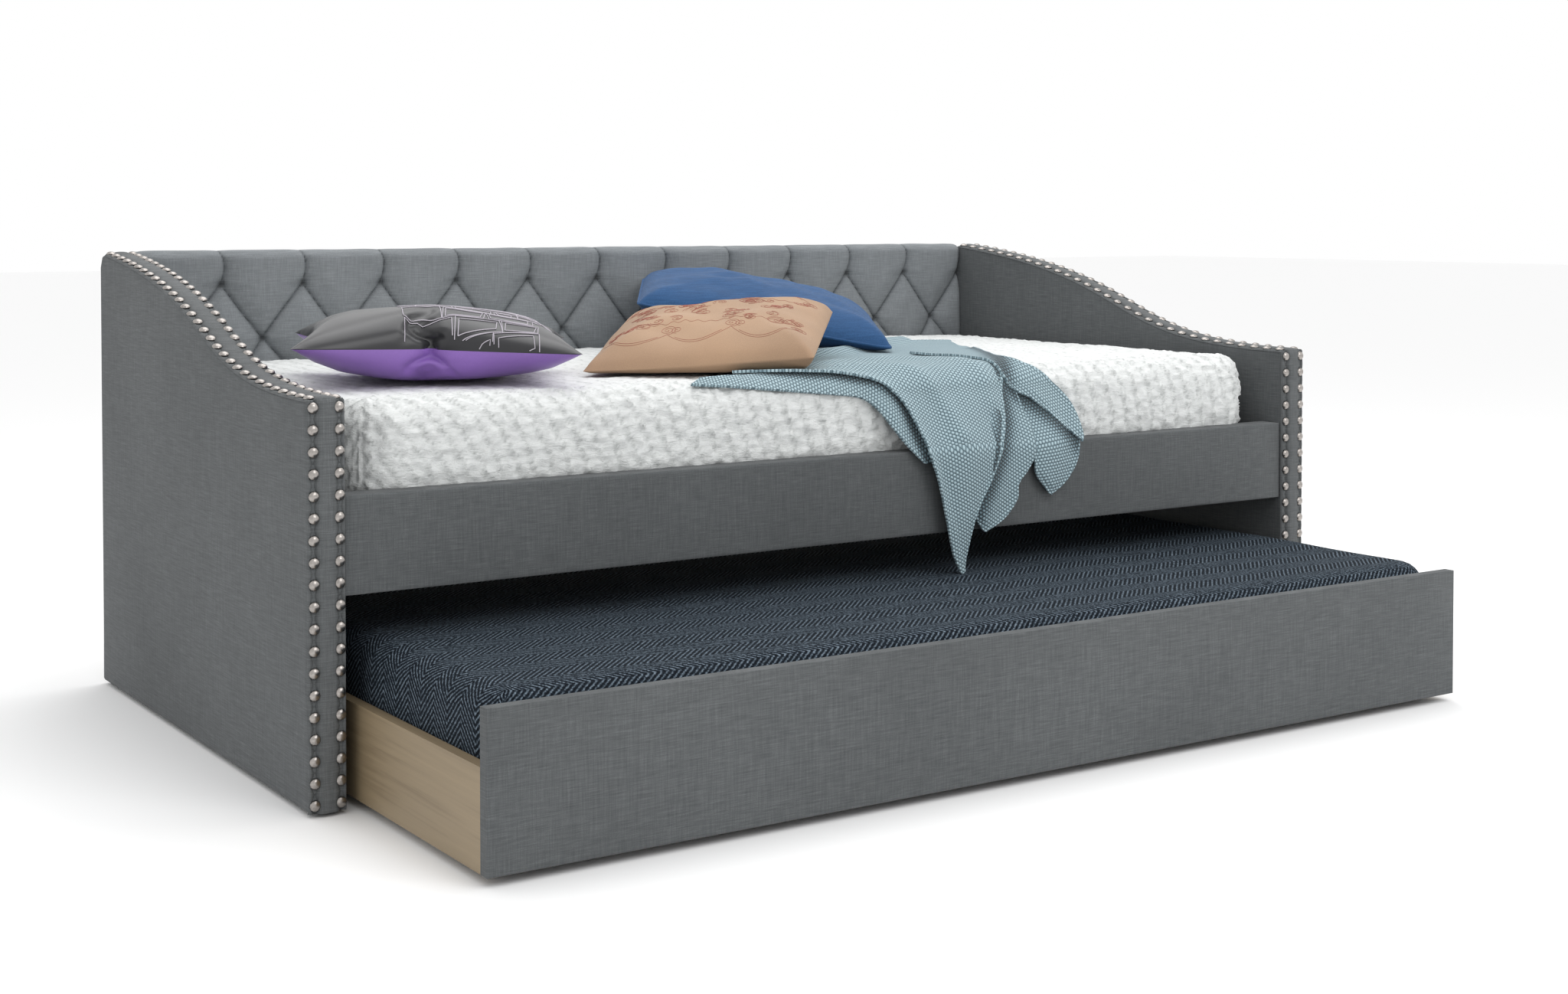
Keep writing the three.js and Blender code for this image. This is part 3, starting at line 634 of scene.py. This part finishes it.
# ---- mattresses and coverlet: boxes laid out flat, folded down at the sides and rounded over
def makeBlock(name, low, high, across, deep, drops, cornerRadius, edgeRadius, closed):
    # a grid for the top, its rim extruded down row by row; returns the piece and its flat layout
    bpy.ops.mesh.primitive_grid_add(x_subdivisions=len(across) - 1, y_subdivisions=len(deep) - 1, size=1)
    piece = named(name)
    points = pointsOf(piece)
    column = np.tile(np.arange(len(across)), len(deep))
    row = np.repeat(np.arange(len(deep)), len(across))
    points = np.stack([across[column], deep[row], np.full(len(column), high[2])], axis=1)
    setPoints(piece, points)
    pick(piece)
    bpy.ops.object.mode_set(mode="EDIT")
    bpy.ops.mesh.select_all(action="SELECT")
    bpy.ops.mesh.region_to_loop()
    last = 0.0
    for drop in drops:
        bpy.ops.mesh.extrude_region_move(TRANSFORM_OT_translate={"value": (0, 0, last - drop)})
        last = drop
    if closed:
        bpy.ops.mesh.edge_face_add()
    bpy.ops.mesh.select_all(action="SELECT")
    bpy.ops.mesh.normals_make_consistent(inside=False)
    bpy.ops.object.mode_set(mode="OBJECT")
    flat = pointsOf(piece)
    drop = high[2] - flat[:, 2]
    onX = np.isclose(np.abs(flat[:, 0] - (low[0] + high[0]) / 2), (high[0] - low[0]) / 2, atol=1e-5)
    onY = np.isclose(np.abs(flat[:, 1] - (low[1] + high[1]) / 2), (high[1] - low[1]) / 2, atol=1e-5)
    layout = flat[:, :2].copy()
    layout[:, 0] += np.where(onX, np.sign(flat[:, 0]) * drop, 0)
    layout[:, 1] += np.where(onY & ~onX, np.sign(flat[:, 1] - (low[1] + high[1]) / 2) * drop, 0)
    inner = flat.copy()
    for axis in (0, 1):
        inner[:, axis] = np.clip(flat[:, axis], low[axis] + cornerRadius, high[axis] - cornerRadius)
    side = flat - inner
    side[:, 2] = 0
    reach = np.hypot(side[:, 0], side[:, 1])
    square = np.maximum(np.abs(side[:, 0]), np.abs(side[:, 1]))
    ease = np.divide(square, reach, out=np.ones(len(reach)), where=reach > 1e-9)
    rounded = inner + side * ease[:, None]
    rounded[:, 2] = flat[:, 2]
    outward = np.divide(side, reach[:, None], out=np.zeros_like(side), where=reach[:, None] > 1e-9)
    fromEdge = cornerRadius - square
    turn = np.where(drop > 0, edgeRadius + drop, edgeRadius - np.clip(fromEdge, 0, edgeRadius))
    bend = np.clip(turn / (2 * edgeRadius), 0, 1) * math.pi / 2
    rolling = (turn > 0) & (turn < 2 * edgeRadius)
    pull = edgeRadius - edgeRadius * np.sin(bend)
    sink = edgeRadius - edgeRadius * np.cos(bend)
    amount = np.where(drop > 0, pull, pull - np.clip(fromEdge, 0, edgeRadius))
    rounded -= outward * np.where(rolling, amount, 0)[:, None]
    rounded[:, 2] = np.where(rolling, high[2] - sink, flat[:, 2])
    setPoints(piece, rounded)
    normals = np.zeros(len(rounded) * 3, np.float32)
    piece.data.vertices.foreach_get("normal", normals)
    return piece, rounded, layout, normals.reshape(-1, 3).astype(float), drop


def spaced(low, high, step):
    return np.linspace(low, high, max(2, int(round((high - low) / step)) + 1))


say("coverlet")
coverletLook = {"step": 0.0048, "band": 0.034, "puff": 0.007, "frill": 0.0075, "ripple": 0.0034, "flat": (2.16, 1.26)}


def makeCoverlet():
    low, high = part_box("ruched_coverlet")
    step = coverletLook["step"]
    across = spaced(low[0], high[0], step)
    deep = np.concatenate([spaced(low[1], low[1] + 0.16, step), spaced(low[1] + 0.168, high[1], 0.0105)])
    drops = np.cumsum(np.full(29, (high[2] - low[2]) / 29))
    piece, points, layout, normals, drop = makeBlock(
        "ruchedCoverlet", low, high, across, deep, drops, 0.085, 0.036, closed=False)
    u, v = layout[:, 0], layout[:, 1]
    isFront = smoothStep(low[1] + 0.12, low[1] - 0.02, v)
    drift = noiseAt(np.stack([u * 3.2, v * 5.0, 0 * u], axis=1), 1.0) * 0.018
    hung = np.clip(low[1] + 0.06 - v, 0, 0.25)
    leftPull = (0.22 + 0.75 * np.exp(-(u - low[0]) / 0.45)) * hung
    waver = noiseAt(np.stack([u * 30, v * 60, 0 * u + 6], axis=1), 1.0) * 0.0055
    bandPhase = (u + drift - leftPull + waver) / coverletLook["band"]
    fold = np.abs(2 * (bandPhase - np.floor(bandPhase)) - 1)
    strength = 0.8 + 0.5 * noiseAt(np.stack([u * 9, v * 12, 0 * u + 4], axis=1), 1.0)
    frillTop = np.exp(-((1 - fold) / 0.3) ** 2) * (0.6 + 0.8 * noiseAt(np.stack([u * 20, v * 75, 0 * u], axis=1), 1.0))
    puff = (1 - fold ** 2) * coverletLook["puff"] * strength + frillTop * coverletLook["frill"] * (1 + 0.3 * isFront)
    curl = noiseAt(np.stack([u * 34, v * 78, 0 * u + 2], axis=1), 1.0)
    curl2 = noiseAt(np.stack([(u + v * 0.3) * 60, v * 110, 0 * u + 9], axis=1), 1.0)
    ripple = ((1 - np.abs(curl)) ** 3 * 1.5 - 0.6 + 0.5 * curl2) * coverletLook["ripple"]
    relief = puff * (0.5 + 0.7 * isFront) + ripple * (0.6 + 0.7 * isFront)
    # painted shade in the valleys between the bands and along the curls, stored for the cotton to darken
    valleyShade = 1.1 * smoothStep(0.55, 0.8, fold) * smoothStep(1.0, 0.88, fold) + 0.22 * smoothStep(0.1, 0.0, np.abs(curl))
    storeFoldShade(piece, valleyShade * (0.75 + 0.35 * isFront))
    hem = smoothStep(0.03, 0.0, high[2] - low[2] - drop)
    relief = relief * (1 - 0.5 * hem) + hem * 0.002 * np.sin(u * 210)
    sway = noiseAt(points, (4, 4, 7), 11.0) * 0.003
    points = points + normals * (relief + sway)[:, None] * 0.9
    points[:, 2] = np.minimum(points[:, 2], high[2] + 0.0075)
    frontBulge = smoothStep(low[1] + 0.03, low[1], points[:, 1]) * np.sin(np.clip(drop / 0.15, 0, 1) * math.pi)
    points[:, 1] -= 0.006 * frontBulge
    setPoints(piece, points)
    bpy.ops.object.shade_smooth()
    return piece


ruchedCoverlet = makeCoverlet()
dress(ruchedCoverlet, "daybed", "white_cotton", ruchedCotton, standsFor=("ruched_coverlet",))

say("mattresses")


def makeMattress(name, nodeName, body, slotName, material, step, corner, edge, softness):
    low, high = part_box(nodeName)
    across, deep = spaced(low[0], high[0], step), spaced(low[1], high[1], step)
    drops = spaced(0, high[2] - low[2], step)[1:]
    piece, points, layout, normals, drop = makeBlock(
        name, low, high, across, deep, drops, corner, edge, closed=True)
    depth = high[2] - low[2]
    under = drop > depth - edge
    tuck = edge - np.sqrt(np.clip(edge ** 2 - np.clip(drop - (depth - edge), 0, edge) ** 2, 0, None))
    points = points - normals * np.where(under, tuck, 0)[:, None] * np.array([1, 1, 0])
    sway = noiseAt(points, (5, 5, 9), 21.0) * softness
    bow = np.sin(np.clip(drop / depth, 0, 1) * math.pi) * softness
    points = points + normals * (sway + bow)[:, None] * (drop < depth - edge)[:, None]
    setPoints(piece, points)
    storeMap(piece, layout)
    bpy.ops.object.shade_smooth_by_angle(angle=math.radians(70))
    dress(piece, body, slotName, material, standsFor=(nodeName,))
    return piece


makeMattress("daybedMattress", "daybed_mattress", "daybed", "ticking", ticking, 0.03, 0.07, 0.025, 0.0006)
makeMattress("trundleMattress", "trundle_mattress", "trundle", "herringbone_ticking", herringbone,
             0.012, 0.06, 0.034, 0.0018)


# ---- cushions: two square layers sewn at the rim, blown up as cloth, then set in place
cushionLooks = {
    "charcoal_cushion": {"name": "charcoalCushion", "size": 0.475, "above": 0.066, "below": 0.062, "turn": -0.4,
                         "lean": 0.0, "tip": 0.03, "rest": 0.5925, "centre": (-0.665, 0.048, 0.655)},
    "tan_cushion": {"name": "tanCushion", "size": 0.4, "above": 0.068, "below": 0.062, "turn": -0.69,
                    "lean": 0.15, "tip": -0.085, "rest": 0.592, "centre": (-0.14, 0.015, 0.64)},
    "blue_cushion": {"name": "blueCushion", "size": 0.49, "above": 0.07, "below": 0.054, "turn": -0.54,
                     "lean": 0.065, "tip": 0.18, "rest": 0.602, "centre": (0.18, 0.353, 0.672)},
}
cushionCuts = 50


def makeCushion(nodeName, upper, lower):
    look = cushionLooks[nodeName]
    bpy.ops.mesh.primitive_grid_add(x_subdivisions=cushionCuts, y_subdivisions=cushionCuts, size=look["size"])
    piece = named(look["name"])
    bpy.ops.object.mode_set(mode="EDIT")
    bpy.ops.mesh.select_all(action="SELECT")
    bpy.ops.mesh.extrude_region_move(TRANSFORM_OT_translate={"value": (0, 0, 0.004)})
    bpy.ops.mesh.select_all(action="SELECT")
    bpy.ops.mesh.normals_make_consistent(inside=False)
    bpy.ops.object.mode_set(mode="OBJECT")
    start = pointsOf(piece)
    half = look["size"] / 2
    rim = np.max(np.abs(start[:, :2]), axis=1) > half - 1e-5
    isUpper = start[:, 2] > 0.002
    shape = start.copy()
    seed = Vector((look["turn"] * 10, 0, 0))
    puffed = (1 - np.clip(np.max(np.abs(start[:, :2]), axis=1) / half, 0, 1) ** 2.2) ** 0.6
    jitter = noiseAt(start, (14, 14, 14), look["turn"] * 10)
    shape[:, 2] = np.where(isUpper, 1, -1) * (0.012 * puffed + 0.0018 * jitter * puffed) + 0.002
    setPoints(piece, shape)
    for material in (upper, lower):
        piece.data.materials.append(material)
    for polygon in piece.data.polygons:
        polygon.material_index = int(max(start[v, 2] for v in polygon.vertices) < 0.002)
    cloth = addModifier(piece, "CLOTH")
    cloth.settings.quality = 6
    cloth.settings.mass = 0.25
    cloth.settings.tension_stiffness = 22
    cloth.settings.compression_stiffness = 22
    cloth.settings.shear_stiffness = 6
    cloth.settings.bending_stiffness = 0.25
    cloth.settings.use_pressure = True
    cloth.settings.uniform_pressure_force = 5.5
    cloth.settings.effector_weights.gravity = 0
    cloth.collision_settings.use_collision = False
    cloth.point_cache.frame_start, cloth.point_cache.frame_end = 1, 40
    for number in range(1, 41):
        scene.frame_set(number)
    applyAll(piece)
    scene.frame_set(1)
    points = pointsOf(piece)
    points -= points.mean(axis=0)
    corner = np.max(np.hypot(points[:, 0], points[:, 1]))
    points[:, :2] *= look["size"] / math.sqrt(2) * 1.0 / corner
    high, low = points[:, 2].max(), -points[:, 2].min()
    points[:, 2] *= np.where(points[:, 2] > 0, look["above"] / high, look["below"] / low)
    setPoints(piece, points)
    addModifier(piece, "SUBSURF", levels=1, render_levels=1)
    applyAll(piece)
    place = Matrix.Translation(look["centre"]) @ Euler((0, 0, look["turn"])).to_matrix().to_4x4() \
        @ Euler((look["lean"], 0, 0)).to_matrix().to_4x4() @ Euler((0, look["tip"], 0)).to_matrix().to_4x4()
    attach(piece, "daybed")
    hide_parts(nodeName)
    points = pointsOf(piece)
    settled = points @ np.array(place.to_3x3()).T + np.array(place.translation)
    rest = look["rest"]
    sunk = settled[:, 2] < rest + 0.02
    settled[sunk, 2] = rest + 0.02 * np.exp((settled[sunk, 2] - rest - 0.02) / 0.02)
    setPoints(piece, settled)
    pick(piece)
    bpy.ops.object.shade_smooth()
    return piece, place


def sewLines(name, cushion, place, paths, thickness, material, slotName):
    # thread laid on the cushion's upper side along paths given in its own plane, in metres
    cover = BVHTree.FromObject(cushion, bpy.context.evaluated_depsgraph_get())
    down = place.to_3x3() @ Vector((0, 0, -1))
    curve = bpy.data.curves.new(name, "CURVE")
    curve.dimensions = "3D"
    curve.bevel_depth = thickness / 2
    curve.bevel_resolution = 0
    for path in paths:
        found = []
        for x, y in path:
            hit, normal, _, _ = cover.ray_cast(place @ Vector((x, y, 0.2)), down)
            if hit is not None:
                found.append(hit + normal * thickness * 0.4)
        if len(found) < 3:
            continue
        spline = curve.splines.new("POLY")
        spline.points.add(len(found) - 1)
        for point, where in zip(spline.points, found):
            point.co = (*where, 1)
    piece = bpy.data.objects.new(name, curve)
    scene.collection.objects.link(piece)
    pick(piece)
    bpy.ops.object.convert(target="MESH")
    piece = named(name)
    bpy.ops.object.shade_smooth()
    return dress(piece, "daybed", slotName, material)


def alongLine(start, end, step=0.004):
    count = max(2, int(math.dist(start, end) / step))
    return [(start[0] + (end[0] - start[0]) * k / count, start[1] + (end[1] - start[1]) * k / count)
            for k in range(count + 1)]


def boxedPattern():
    # hand-stitched oblongs in loose courses, some with a second line inside
    paths = []
    draw = np.random.default_rng(7)
    y = -0.226
    while y < 0.16:
        tall = draw.uniform(0.026, 0.044)
        x = -0.04 + draw.uniform(-0.03, 0.02)
        while x < 0.155:
            wide = draw.uniform(0.035, 0.075)
            for inset in ((0.0, 0.006) if draw.random() < 0.45 else (0.0,)):
                slip = draw.uniform(-0.003, 0.003, 8)
                corners = [(x + inset + slip[0], y + inset + slip[1]), (x + wide - inset + slip[2], y + inset + slip[3]),
                           (x + wide - inset + slip[4], y + tall - inset + slip[5]),
                           (x + inset + slip[6], y + tall - inset + slip[7])]
                loop = []
                for a, b in zip(corners, corners[1:] + corners[:1]):
                    loop += alongLine(a, b)
                paths.append(loop)
            x += wide + 0.003
        y += tall + 0.002
    return paths


def spiral(centre, size, turns, start, way=1):
    count = int(26 * turns)
    return [(centre[0] + size * (1 - k / count) ** 0.8 * math.cos(start + way * 2 * math.pi * turns * k / count),
             centre[1] + size * (1 - k / count) ** 0.8 * math.sin(start + way * 2 * math.pi * turns * k / count))
            for k in range(count)]


def scrolledPattern():
    # swags that end in spirals along two sides, with curls and small waves between them
    paths = []
    draw = np.random.default_rng(11)
    for level, way in ((-0.128, 1), (0.122, -1)):
        for number in range(3):
            left = -0.172 + number * 0.113
            swag = [(left + 0.113 * k / 30, level - way * 0.034 * math.sin(math.pi * k / 30) ** 0.8) for k in range(31)]
            paths.append(swag)
            paths.append([(x, y + way * 0.005) for x, y in swag[4:-4]])
            paths.append(spiral((left + 0.113, level + way * 0.014), 0.015, 2.4, -way * math.pi / 2, way))
            paths.append(spiral((left + 0.016, level + way * 0.012), 0.01, 1.8, -way * math.pi / 2, -way))
    for _ in range(46):
        spot = (draw.uniform(-0.165, 0.165), draw.uniform(-0.1, 0.1))
        size, start, way = draw.uniform(0.009, 0.021), draw.uniform(0, 6.28), draw.choice((-1, 1))
        paths.append(spiral(spot, size, 1.7, start, way))
        paths.append(spiral(spot, size * 1.35, 0.8, start, way))
    for level in (-0.09, 0.088):
        paths.append([(-0.17 + 0.34 * k / 120, level + 0.0035 * math.sin(k * 0.8)) for k in range(121)])
    return paths


def makePiping(name, cushion, place, look, radius, material, slotName):
    # a covered cord sewn round the rim
    points = (pointsOf(cushion) - np.array(place.translation)) @ np.array(place.to_3x3())
    angle, reach = np.arctan2(points[:, 1], points[:, 0]), np.hypot(points[:, 0], points[:, 1])
    curve = bpy.data.curves.new(name, "CURVE")
    curve.dimensions = "3D"
    curve.bevel_depth, curve.bevel_resolution = radius, 2
    count = 180
    rim = []
    for k in range(count):
        at = -math.pi + 2 * math.pi * (k + 0.5) / count
        away = np.abs((angle - at + math.pi) % (2 * math.pi) - math.pi)
        near = np.where(away < math.pi / count * 1.3)[0]
        outer = near[np.argsort(reach[near])[-4:]]
        rim.append(points[outer].mean(axis=0))
    rim = np.array(rim)
    rim = (rim + np.roll(rim, 1, axis=0) + np.roll(rim, -1, axis=0)) / 3
    spline = curve.splines.new("POLY")
    spline.points.add(count - 1)
    spline.use_cyclic_u = True
    for point, where in zip(spline.points, rim):
        point.co = (*(place @ Vector(where)), 1)
    piece = bpy.data.objects.new(name, curve)
    scene.collection.objects.link(piece)
    pick(piece)
    bpy.ops.object.convert(target="MESH")
    piece = named(name)
    bpy.ops.object.shade_smooth()
    return dress(piece, "daybed", slotName, material)


say("cushions")
charcoalCushion, charcoalPlace = makeCushion("charcoal_cushion", charcoalSatin, violetSatin)
tanCushion, tanPlace = makeCushion("tan_cushion", tanCotton, tanCotton)
blueCushion, bluePlace = makeCushion("blue_cushion", navyCotton, navyCotton)
sewLines("oblongStitching", charcoalCushion, charcoalPlace, boxedPattern(), 0.0017, paleThread, "charcoal_satin")
sewLines("scrollStitching", tanCushion, tanPlace, scrolledPattern(), 0.0006, russetThread, "tan_cotton")
makePiping("bluePiping", blueCushion, bluePlace, cushionLooks["blue_cushion"], 0.003, navyCotton, "navy_cotton")


# ---- knitted throw: overlapping folds laid over the coverlet's edge and the rail
throwLook = {
    "step": 0.0055, "thickness": 0.0045, "flat": (0.9, 0.62),
    # the drape line: run from the top's front edge, depth and height, in mm
    "drape": ((-900, 673, 598), (-300, 73, 598), (-40, -187, 598), (0, -227, 597), (26, -250, 590), (50, -267, 573),
              (74, -275, 551), (120, -293, 509), (164, -310, 468), (186, -315, 446), (260, -315, 372), (420, -315, 212)),
    # each fold: its two sides as (across, run) from the gathered end outwards, lift and stitch angle
    "folds": (
        {"lift": (2, 2), "turn": 1.3, "left": ((-350, 30), (-205, 48), (-84, 62), (-28, 70), (0, 90), (26, 130), (54, 168), (80, 192)),
         "right": ((-325, 12), (-120, 0), (-10, 5), (60, 30), (95, 70), (110, 115), (118, 160), (118, 190))},
        {"lift": (1, 2), "turn": 0.1, "left": ((255, -40), (262, 60), (290, 120), (322, 192), (330, 228), (362, 264)),
         "right": ((340, -20), (408, 66), (434, 116), (430, 196), (402, 242), (366, 266))},
        {"lift": (5, 6), "turn": -0.5, "left": ((240, -10), (235, 90), (225, 180), (200, 260), (190, 292), (207, 318)),
         "right": ((300, 20), (318, 110), (327, 178), (312, 212), (287, 240), (283, 268), (254, 300), (212, 320))},
        {"lift": (9, 7), "turn": -0.85,
         "left": ((268, -200), (276, -80), (284, 0), (290, 50), (310, 76), (340, 92), (372, 120), (410, 156), (436, 176)),
         "right": ((455, -240), (385, -110), (336, -20), (350, 26), (384, 50), (408, 72), (428, 102), (438, 135), (441, 168))},
        {"lift": (4, 10), "turn": -0.45,
         "left": ((-240, -20), (-190, 8), (-125, 22), (-70, 28), (-24, 37), (10, 47), (32, 60), (50, 84), (62, 112), (72, 146),
                  (82, 182), (96, 216), (108, 256), (118, 300), (130, 350), (148, 386)),
         "right": ((-100, -160), (105, -300), (258, -415), (425, -530), (610, -535), (545, -420), (472, -270), (398, -125),
                   (330, -20), (296, 36), (278, 82), (268, 130), (250, 172), (222, 228), (186, 290), (158, 384))},
    ),
}


def smoothThrough(spots, count):
    # a smooth line through given places
    spots = np.array(spots, float)
    padded = np.vstack([2 * spots[0] - spots[1], spots, 2 * spots[-1] - spots[-2]])
    at = np.linspace(0, len(spots) - 1, count)
    k = np.minimum(at.astype(int), len(spots) - 2)
    t = (at - k)[:, None]
    a, b, c, d = padded[k], padded[k + 1], padded[k + 2], padded[k + 3]
    return 0.5 * (2 * b + (c - a) * t + (2 * a - 5 * b + 4 * c - d) * t ** 2 + (3 * b - a - 3 * c + d) * t ** 3)


def awayFrom(places, line):
    return np.min(np.hypot(places[:, 0, None] - line[:, 0], places[:, 1, None] - line[:, 1]), axis=1)


def makeFold(number, fold, drape, drapeNormal):
    left, right = smoothThrough(fold["left"], 160), smoothThrough(fold["right"], 160)
    step = throwLook["step"] * 1000
    rows = max(20, int(np.hypot(*np.diff(right, axis=0).T).sum() / step))
    columns = max(10, int(np.hypot(*(right - left).T).max() / step))
    left, right = smoothThrough(fold["left"], rows), smoothThrough(fold["right"], rows)
    bpy.ops.mesh.primitive_grid_add(x_subdivisions=columns - 1, y_subdivisions=rows - 1, size=1)
    piece = named("throwFold%d" % number)
    row = np.repeat(np.arange(rows), columns)
    share = np.tile(np.linspace(0, 1, columns), rows)
    places = left[row] + (right[row] - left[row]) * share[:, None]
    lift = fold["lift"][0] + (fold["lift"][1] - fold["lift"][0]) * smoothStep(20, 190, places[:, 1])
    rim = np.minimum(awayFrom(places, left), awayFrom(places, right))
    lift += 1.6 * np.exp(-(rim / 5) ** 2)
    hanging = smoothStep(10, 120, places[:, 1])
    lift += (3.5 * np.sin(places[:, 0] / 21 + places[:, 1] / 95 + number) + 2.5) * hanging * smoothStep(0, 14, rim)
    lift += 2.2 * (noiseAt(np.column_stack([places, row * 0]), 0.012, number) + 0.4)
    if number == len(throwLook["folds"]) - 1:
        lift += 8 * np.exp(-(awayFrom(places, left) / 13) ** 2) * smoothStep(-250, -120, places[:, 0])
        for crest, high, wide in (
                (((70, -250), (190, -300), (330, -410), (470, -500)), 15, 26),
                (((-60, -60), (60, -90), (170, -70), (240, 10), (250, 90)), 8, 24),
                (((-30, -10), (70, 0), (130, 60), (160, 150)), 6, 20)):
            lift += high * np.exp(-(awayFrom(places, smoothThrough(crest, 60)) / wide) ** 2)
    y, z = (np.interp(places[:, 1], drape[:, 0], drape[:, k]) for k in (1, 2))
    ny, nz = (np.interp(places[:, 1], drape[:, 0], drapeNormal[:, k]) for k in (0, 1))
    setPoints(piece, np.column_stack([places[:, 0], y + ny * lift, z + nz * lift]) / 1000)
    covering = smoothThrough(throwLook["folds"][-1]["right"], 160)
    shade = 0.9 * np.exp(-(awayFrom(places, covering) / 20) ** 2) * (number < len(throwLook["folds"]) - 1)
    if number in (1, 2):
        hemLine = smoothThrough(throwLook["folds"][3]["left"], 120)
        shade = np.maximum(shade, 0.9 * np.exp(-(awayFrom(places, hemLine) / 20) ** 2))
    if number == 0:
        shade = 0.8 * np.exp(-(awayFrom(places, smoothThrough(throwLook["folds"][-1]["left"], 160)) / 9) ** 2)
    storeFoldShade(piece, shade * smoothStep(0, 5, rim))
    c, d = math.cos(fold["turn"]), math.sin(fold["turn"])
    turned = np.column_stack([places[:, 0] * c - places[:, 1] * d, places[:, 0] * d + places[:, 1] * c])
    storeMap(piece, turned / 1000 + 1 + number * 0.37)
    pick(piece)
    normals = np.zeros(len(piece.data.polygons) * 3, np.float32)
    piece.data.polygons.foreach_get("normal", normals)
    if normals.reshape(-1, 3)[:, 2].mean() - normals.reshape(-1, 3)[:, 1].mean() < 0:
        piece.data.flip_normals()
    return piece


def makeThrow():
    drape = smoothThrough(throwLook["drape"], 600)
    tangent = np.gradient(drape[:, 1:], axis=0)
    tangent /= np.linalg.norm(tangent, axis=1)[:, None]
    drapeNormal = np.column_stack([tangent[:, 1], -tangent[:, 0]])
    folds = [makeFold(number, fold, drape, drapeNormal) for number, fold in enumerate(throwLook["folds"])]
    deselectAll()
    for fold in folds:
        fold.select_set(True)
    bpy.context.view_layer.objects.active = folds[0]
    bpy.ops.object.join()
    piece = named("knittedThrow")
    addModifier(piece, "SOLIDIFY", thickness=throwLook["thickness"], offset=0)
    addModifier(piece, "BEVEL", width=0.0014, segments=2, limit_method="ANGLE", angle_limit=math.radians(60))
    applyAll(piece)
    bpy.ops.object.shade_smooth_by_angle(angle=math.radians(70))
    return piece


say("knitted throw")
knittedThrow = makeThrow()
dress(knittedThrow, "daybed", "aqua_knit", aquaKnit, standsFor=("knitted_throw",))


# ---- hard pieces kept from the frame, each with its own finish
say("hard pieces")
hardFinishes = (
    (darkSteel, ("_bracket", "_bolt", "caster_mount")),
    (blackPlastic, ("_glide", "caster_wheel")),
    (plyPanel, ("_arm_panel", "back_board", "front_rail_board", "trundle_front_board")),
    (paleBoard, ("trundle_left_side", "trundle_right_side", "slat_0")),
    (crossBoard, ("rear_rail_board", "_cleat", "trundle_rear_board", "trundle_slat_roll")),
)
for nodeName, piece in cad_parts.items():
    if piece.hide_render:
        continue
    for material, endings in hardFinishes:
        if any(part in nodeName for part in endings):
            piece.data.materials.clear()
            piece.data.materials.append(material)
            break

# ---- floor, light and camera
say("stage")
stageLook = {"floorSize": 60, "floor": (0.95, 0.95, 0.95), "world": (1.0, 1.0, 1.0), "worldStrength": 1.0}
bpy.ops.mesh.primitive_plane_add(size=stageLook["floorSize"], location=(0, 0, 0))
floor = named("floor")
floorFinish, _, _ = newMaterial("paleFloor", stageLook["floor"], 0.85)
floor.data.materials.append(floorFinish)

world = bpy.data.worlds.new("softStudio")
world.use_nodes = True
world.node_tree.nodes["Background"].inputs["Color"].default_value = (*stageLook["world"], 1)
world.node_tree.nodes["Background"].inputs["Strength"].default_value = stageLook["worldStrength"]
scene.world = world

lights = {
    "keyLight": {"place": (0.6, -3.9, 3.6), "aim": (0, 0.1, 0.45), "size": 2.6, "power": 60},
    "topLight": {"place": (0.4, 0.6, 3.4), "aim": (0, 0, 0.3), "size": 3.0, "power": 54},
    "sideLight": {"place": (3.6, -1.6, 2.0), "aim": (0.2, 0, 0.5), "size": 2.2, "power": 5},
}
for name, look in lights.items():
    data = bpy.data.lights.new(name, "AREA")
    data.size, data.energy = look["size"], look["power"]
    lamp = bpy.data.objects.new(name, data)
    scene.collection.objects.link(lamp)
    lamp.location = look["place"]
    toward = Vector(look["aim"]) - Vector(look["place"])
    lamp.rotation_euler = toward.to_track_quat("-Z", "Y").to_euler()

cameraLook = {"place": (-2.0991, -3.1631, 0.8657), "turn": -0.5863, "dip": 0.0262, "lens": 47.88,
              "shift": -0.1443}
cameraData = bpy.data.cameras.new("camera")
cameraData.lens = cameraLook["lens"]
cameraData.sensor_width = 36
cameraData.shift_y = cameraLook["shift"]
cameraData.clip_end = 200
camera = bpy.data.objects.new("camera", cameraData)
scene.collection.objects.link(camera)
camera.location = cameraLook["place"]
camera.rotation_euler = (math.pi / 2 - cameraLook["dip"], 0, cameraLook["turn"])
scene.camera = camera

say("sizes")
